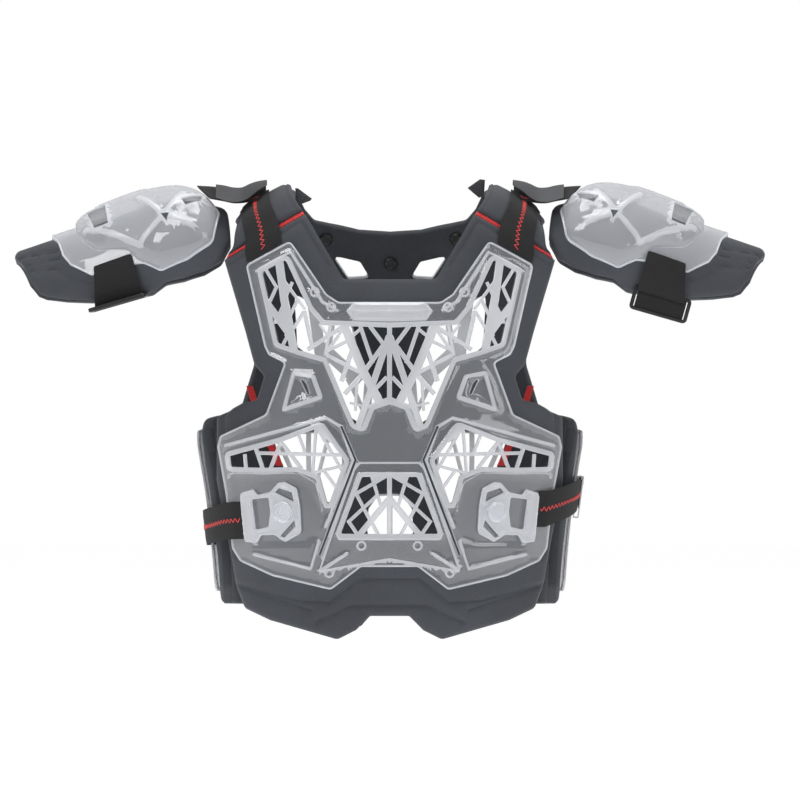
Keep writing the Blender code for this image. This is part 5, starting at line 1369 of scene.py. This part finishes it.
def armRound(across, down):
    low, high = 0.0, arm["quarter"] * 1.35
    for _ in range(30):
        middle = (low + high) / 2
        point = armPoint(np.array([across], float), np.array([middle]))[0]
        if point[2] > seen(0, down, point[1])[1]:
            low = middle
        else:
            high = middle
    return low


def armLoop(front, inner, steps=5):
    half = [(across, armRound(across, down), radius) for across, down, radius in front] + inner
    back = [(across, -around, radius) for across, around, radius in half[::-1] if around]
    return rounded(half + back, steps)


def buildArm(side, word):
    rise = arm["liftRight"] * step if side > 0 else 0.0

    def place(spots):
        return onArm(spots, rise)

    thick = guard["armPadThickness"]
    padLoop = armLoop(arm["padFront"], arm["padInner"])
    puff = cushion([padLoop], thick, 0.5, 6.0)
    lines = [np.array([(a, armRound(a, d)) for a, d in line]) for line in arm["padGrooves"]]
    lines += [line * (1, -1) for line in lines]
    height = grooved(lambda s: puff(s) - thick, lines, 0.0022, 2.0)
    moulded("armPad_" + word, place, padLoop, -thick, height, foamCloth, lines=lines,
            guides=[inset(padLoop, d) for d in (1.5, 3.2, 6.0)], side=side, grid=7, edge=1.2,
            nodes=["arm_pad_" + word], slot="foam", padded=1.0, sharp=60)
    plateLoop = armLoop(arm["plateFront"], arm["plateInner"])
    dome = armLoop(arm["domeFront"], arm["domeInner"])
    windows = [turned(np.array([(a, armRound(a, d)) for a, d, _r in loop])) for loop in arm["windows"]]
    ribs = [np.array([(a, armRound(a, d)) for a, d in line]) for line in arm["ribs"]]
    ribs += [line * (1, -1) for line in ribs]

    def bulge(spots):
        t = np.where(insideOf([dome], spots), np.minimum(distanceTo([dome], spots) / 26, 1), 0)
        swell = arm["domeHeight"] * np.sqrt(np.maximum(1 - (1 - t) ** 2, 0))
        rib = arm["ribHeight"] * smoothStep(1.6 - distanceTo(ribs, spots, closed=False) / 3.2)
        frames = 0.0009 * smoothStep((4.5 - distanceTo(windows, spots)) / 2)
        lip = 0.0006 * smoothStep(1 - (distanceTo([plateLoop], spots) - 1.5) / 2.0)
        return guard["armGap"] + swell + np.maximum(rib, frames) * (t > 0.05) + lip

    def frostAndGlare(spots):
        # frosted finish round the windows; painted highlight along the ribs and the plate's edge lip
        rib = distanceTo(ribs, spots, closed=False) < 2.6
        return rib | (distanceTo(windows, spots) < 3) | (distanceTo([plateLoop], spots) < 1.7)

    strips = [l for line in ribs for l in (beside(line, 2.2), beside(line, -2.2), beside(line, 5), beside(line, -5))]
    moulded("armPlate_" + word, place, plateLoop, bulge, lambda s: bulge(s) + arm["wall"], clearDome, windows,
            guides=[dome] + [inset(dome, d) for d in (1.5, 4, 8)] + [inset(plateLoop, d) for d in (1.7, 3.5)],
            lines=strips, side=side, grid=5, longest=3.5, edge=0.6, frostAndGlare=frostAndGlare, nodes=["arm_shell_" + word],
            slot="clear_plastic", sharp=40)
    outer, slotInner, footInner, slot, foot = arm["strap"]
    lift = guard["armGap"] + arm["wall"] + guard["seam"] + guard["webWall"] / 2
    around = np.linspace(slot, foot, 20)
    rows = []
    for turn in np.concatenate([around, -around[::-1]]):
        inner = slotInner + (footInner - slotInner) * min((abs(turn) - slot) / (foot - slot), 1)
        base, normal = place([(a, turn) for a in np.linspace(outer, inner, 7)])
        rows.append(base + normal * lift)
    sweep("armStrap_" + word, rows, guard["webWall"], webbing, side, nodes=["arm_strap_" + word],
          slot="black_webbing")
    hangs = side > 0
    corner = rows[19]
    centre = corner[3] + ((0, 0.004, -0.0082) if hangs else (0, -0.004, -0.004))
    wide = unit(corner[0] - corner[-1])
    tall = np.array((0, 0, 1) if hangs else (0, 1, 0), float)
    tall = unit(tall - wide * (tall @ wide))
    width = np.linalg.norm(corner[0] - corner[-1]) + 2 * (arm["buckleBar"] + 5 * guard["seam"])
    flip = np.array((side, 1, 1))
    softRing("armBuckle_" + word, centre * flip, wide * flip, tall * flip, width, arm["buckleHeight"],
             arm["buckleBar"] * 1.15, arm["buckleBar"] * 1.3, blackPlastic, 0.0045, nodes=["arm_buckle_" + word],
             slot="black_plastic")
    reach, half = arm["buckleHeight"] / 2 - 0.0022, width / 2 - arm["buckleBar"] * 1.5
    loops = [[centre + tall * t + wide * w for w in np.linspace(-half, half, 7)] for t in np.linspace(reach, -reach, 9)]
    sweep("armLoop_" + word, loops, guard["webWall"], webbing, side, slot="black_webbing")
    print("arm", word, "done")


buildFront()
buildBack()
for side, word in ((-1, "left"), (1, "right")):
    buildShoulder(side, word)
    buildWaist(side, word)
    buildArm(side, word)


# Floor, lights and camera

studio = {
    "floorLevel": -0.75, "floorReach": 9, "paleness": 0.86,
    "lights": {                     # place, size, power
        "key": ((-1.5, -2.2, 1.5), 1.2, 30), "fill": ((1.9, -1.9, 0.5), 1.2, 13),
        "top": ((0.0, 0.1, 2.0), 1.1, 26),
    },
    "aim": (0, 0, -0.22), "worldStrength": 0.42, "backdropGlow": 0.62,
    "camera": (0.0105, -3.5, -0.21), "lens": 151.2,
}


def buildStudio():
    made, nodes, links, shader, where = newMaterial("paleFloor", (studio["paleness"],) * 3, 0.6)
    clouds = texture(nodes, links, where, "Noise", 3.0)
    pale = studio["paleness"]
    links.new(shades(nodes, links, clouds, (pale * 0.98,) * 3, (pale,) * 3), shader.inputs["Base Color"])
    shader.inputs["Emission Color"].default_value = (1, 1, 1, 1)
    shader.inputs["Emission Strength"].default_value = studio["backdropGlow"]
    level, far = studio["floorLevel"], studio["floorReach"]
    data = bpy.data.meshes.new("paleFloor")
    corners = [(-far, -far, level), (far, -far, level), (far, far, level), (-far, far, level)]
    data.from_pydata(corners, [], [(0, 1, 2, 3)])
    data.materials.append(made)
    data.shade_smooth()
    backdrop = bpy.data.objects.new("paleFloor", data)
    bpy.context.scene.collection.objects.link(backdrop)
    for name, (spot, size, power) in studio["lights"].items():
        lamp = bpy.data.lights.new(name, "AREA")
        lamp.size = size
        lamp.energy = power
        holder = bpy.data.objects.new(name, lamp)
        holder.location = spot
        holder.rotation_euler = (Vector(studio["aim"]) - Vector(spot)).to_track_quat("-Z", "Y").to_euler()
        bpy.context.scene.collection.objects.link(holder)
    world = bpy.data.worlds.new("studioAir")
    world.use_nodes = True
    nodes, links = world.node_tree.nodes, world.node_tree.links
    air = nodes["Background"]
    air.inputs["Color"].default_value = (1, 1, 1, 1)
    rays = nodes.new("ShaderNodeLightPath").outputs["Is Camera Ray"]
    links.new(between(nodes, links, rays, studio["worldStrength"], 1.0), air.inputs["Strength"])
    bpy.context.scene.world = world
    lens = bpy.data.cameras.new("studioCamera")
    lens.sensor_width = 36
    lens.lens = studio["lens"]
    bpy.context.scene.view_settings.view_transform = "Standard"
    camera = bpy.data.objects.new("studioCamera", lens)
    camera.location = studio["camera"]
    camera.rotation_euler = (math.pi / 2, 0, 0)
    bpy.context.scene.collection.objects.link(camera)
    bpy.context.scene.camera = camera
    print("studio done")


buildStudio()
print("pieces:", len(pieces))
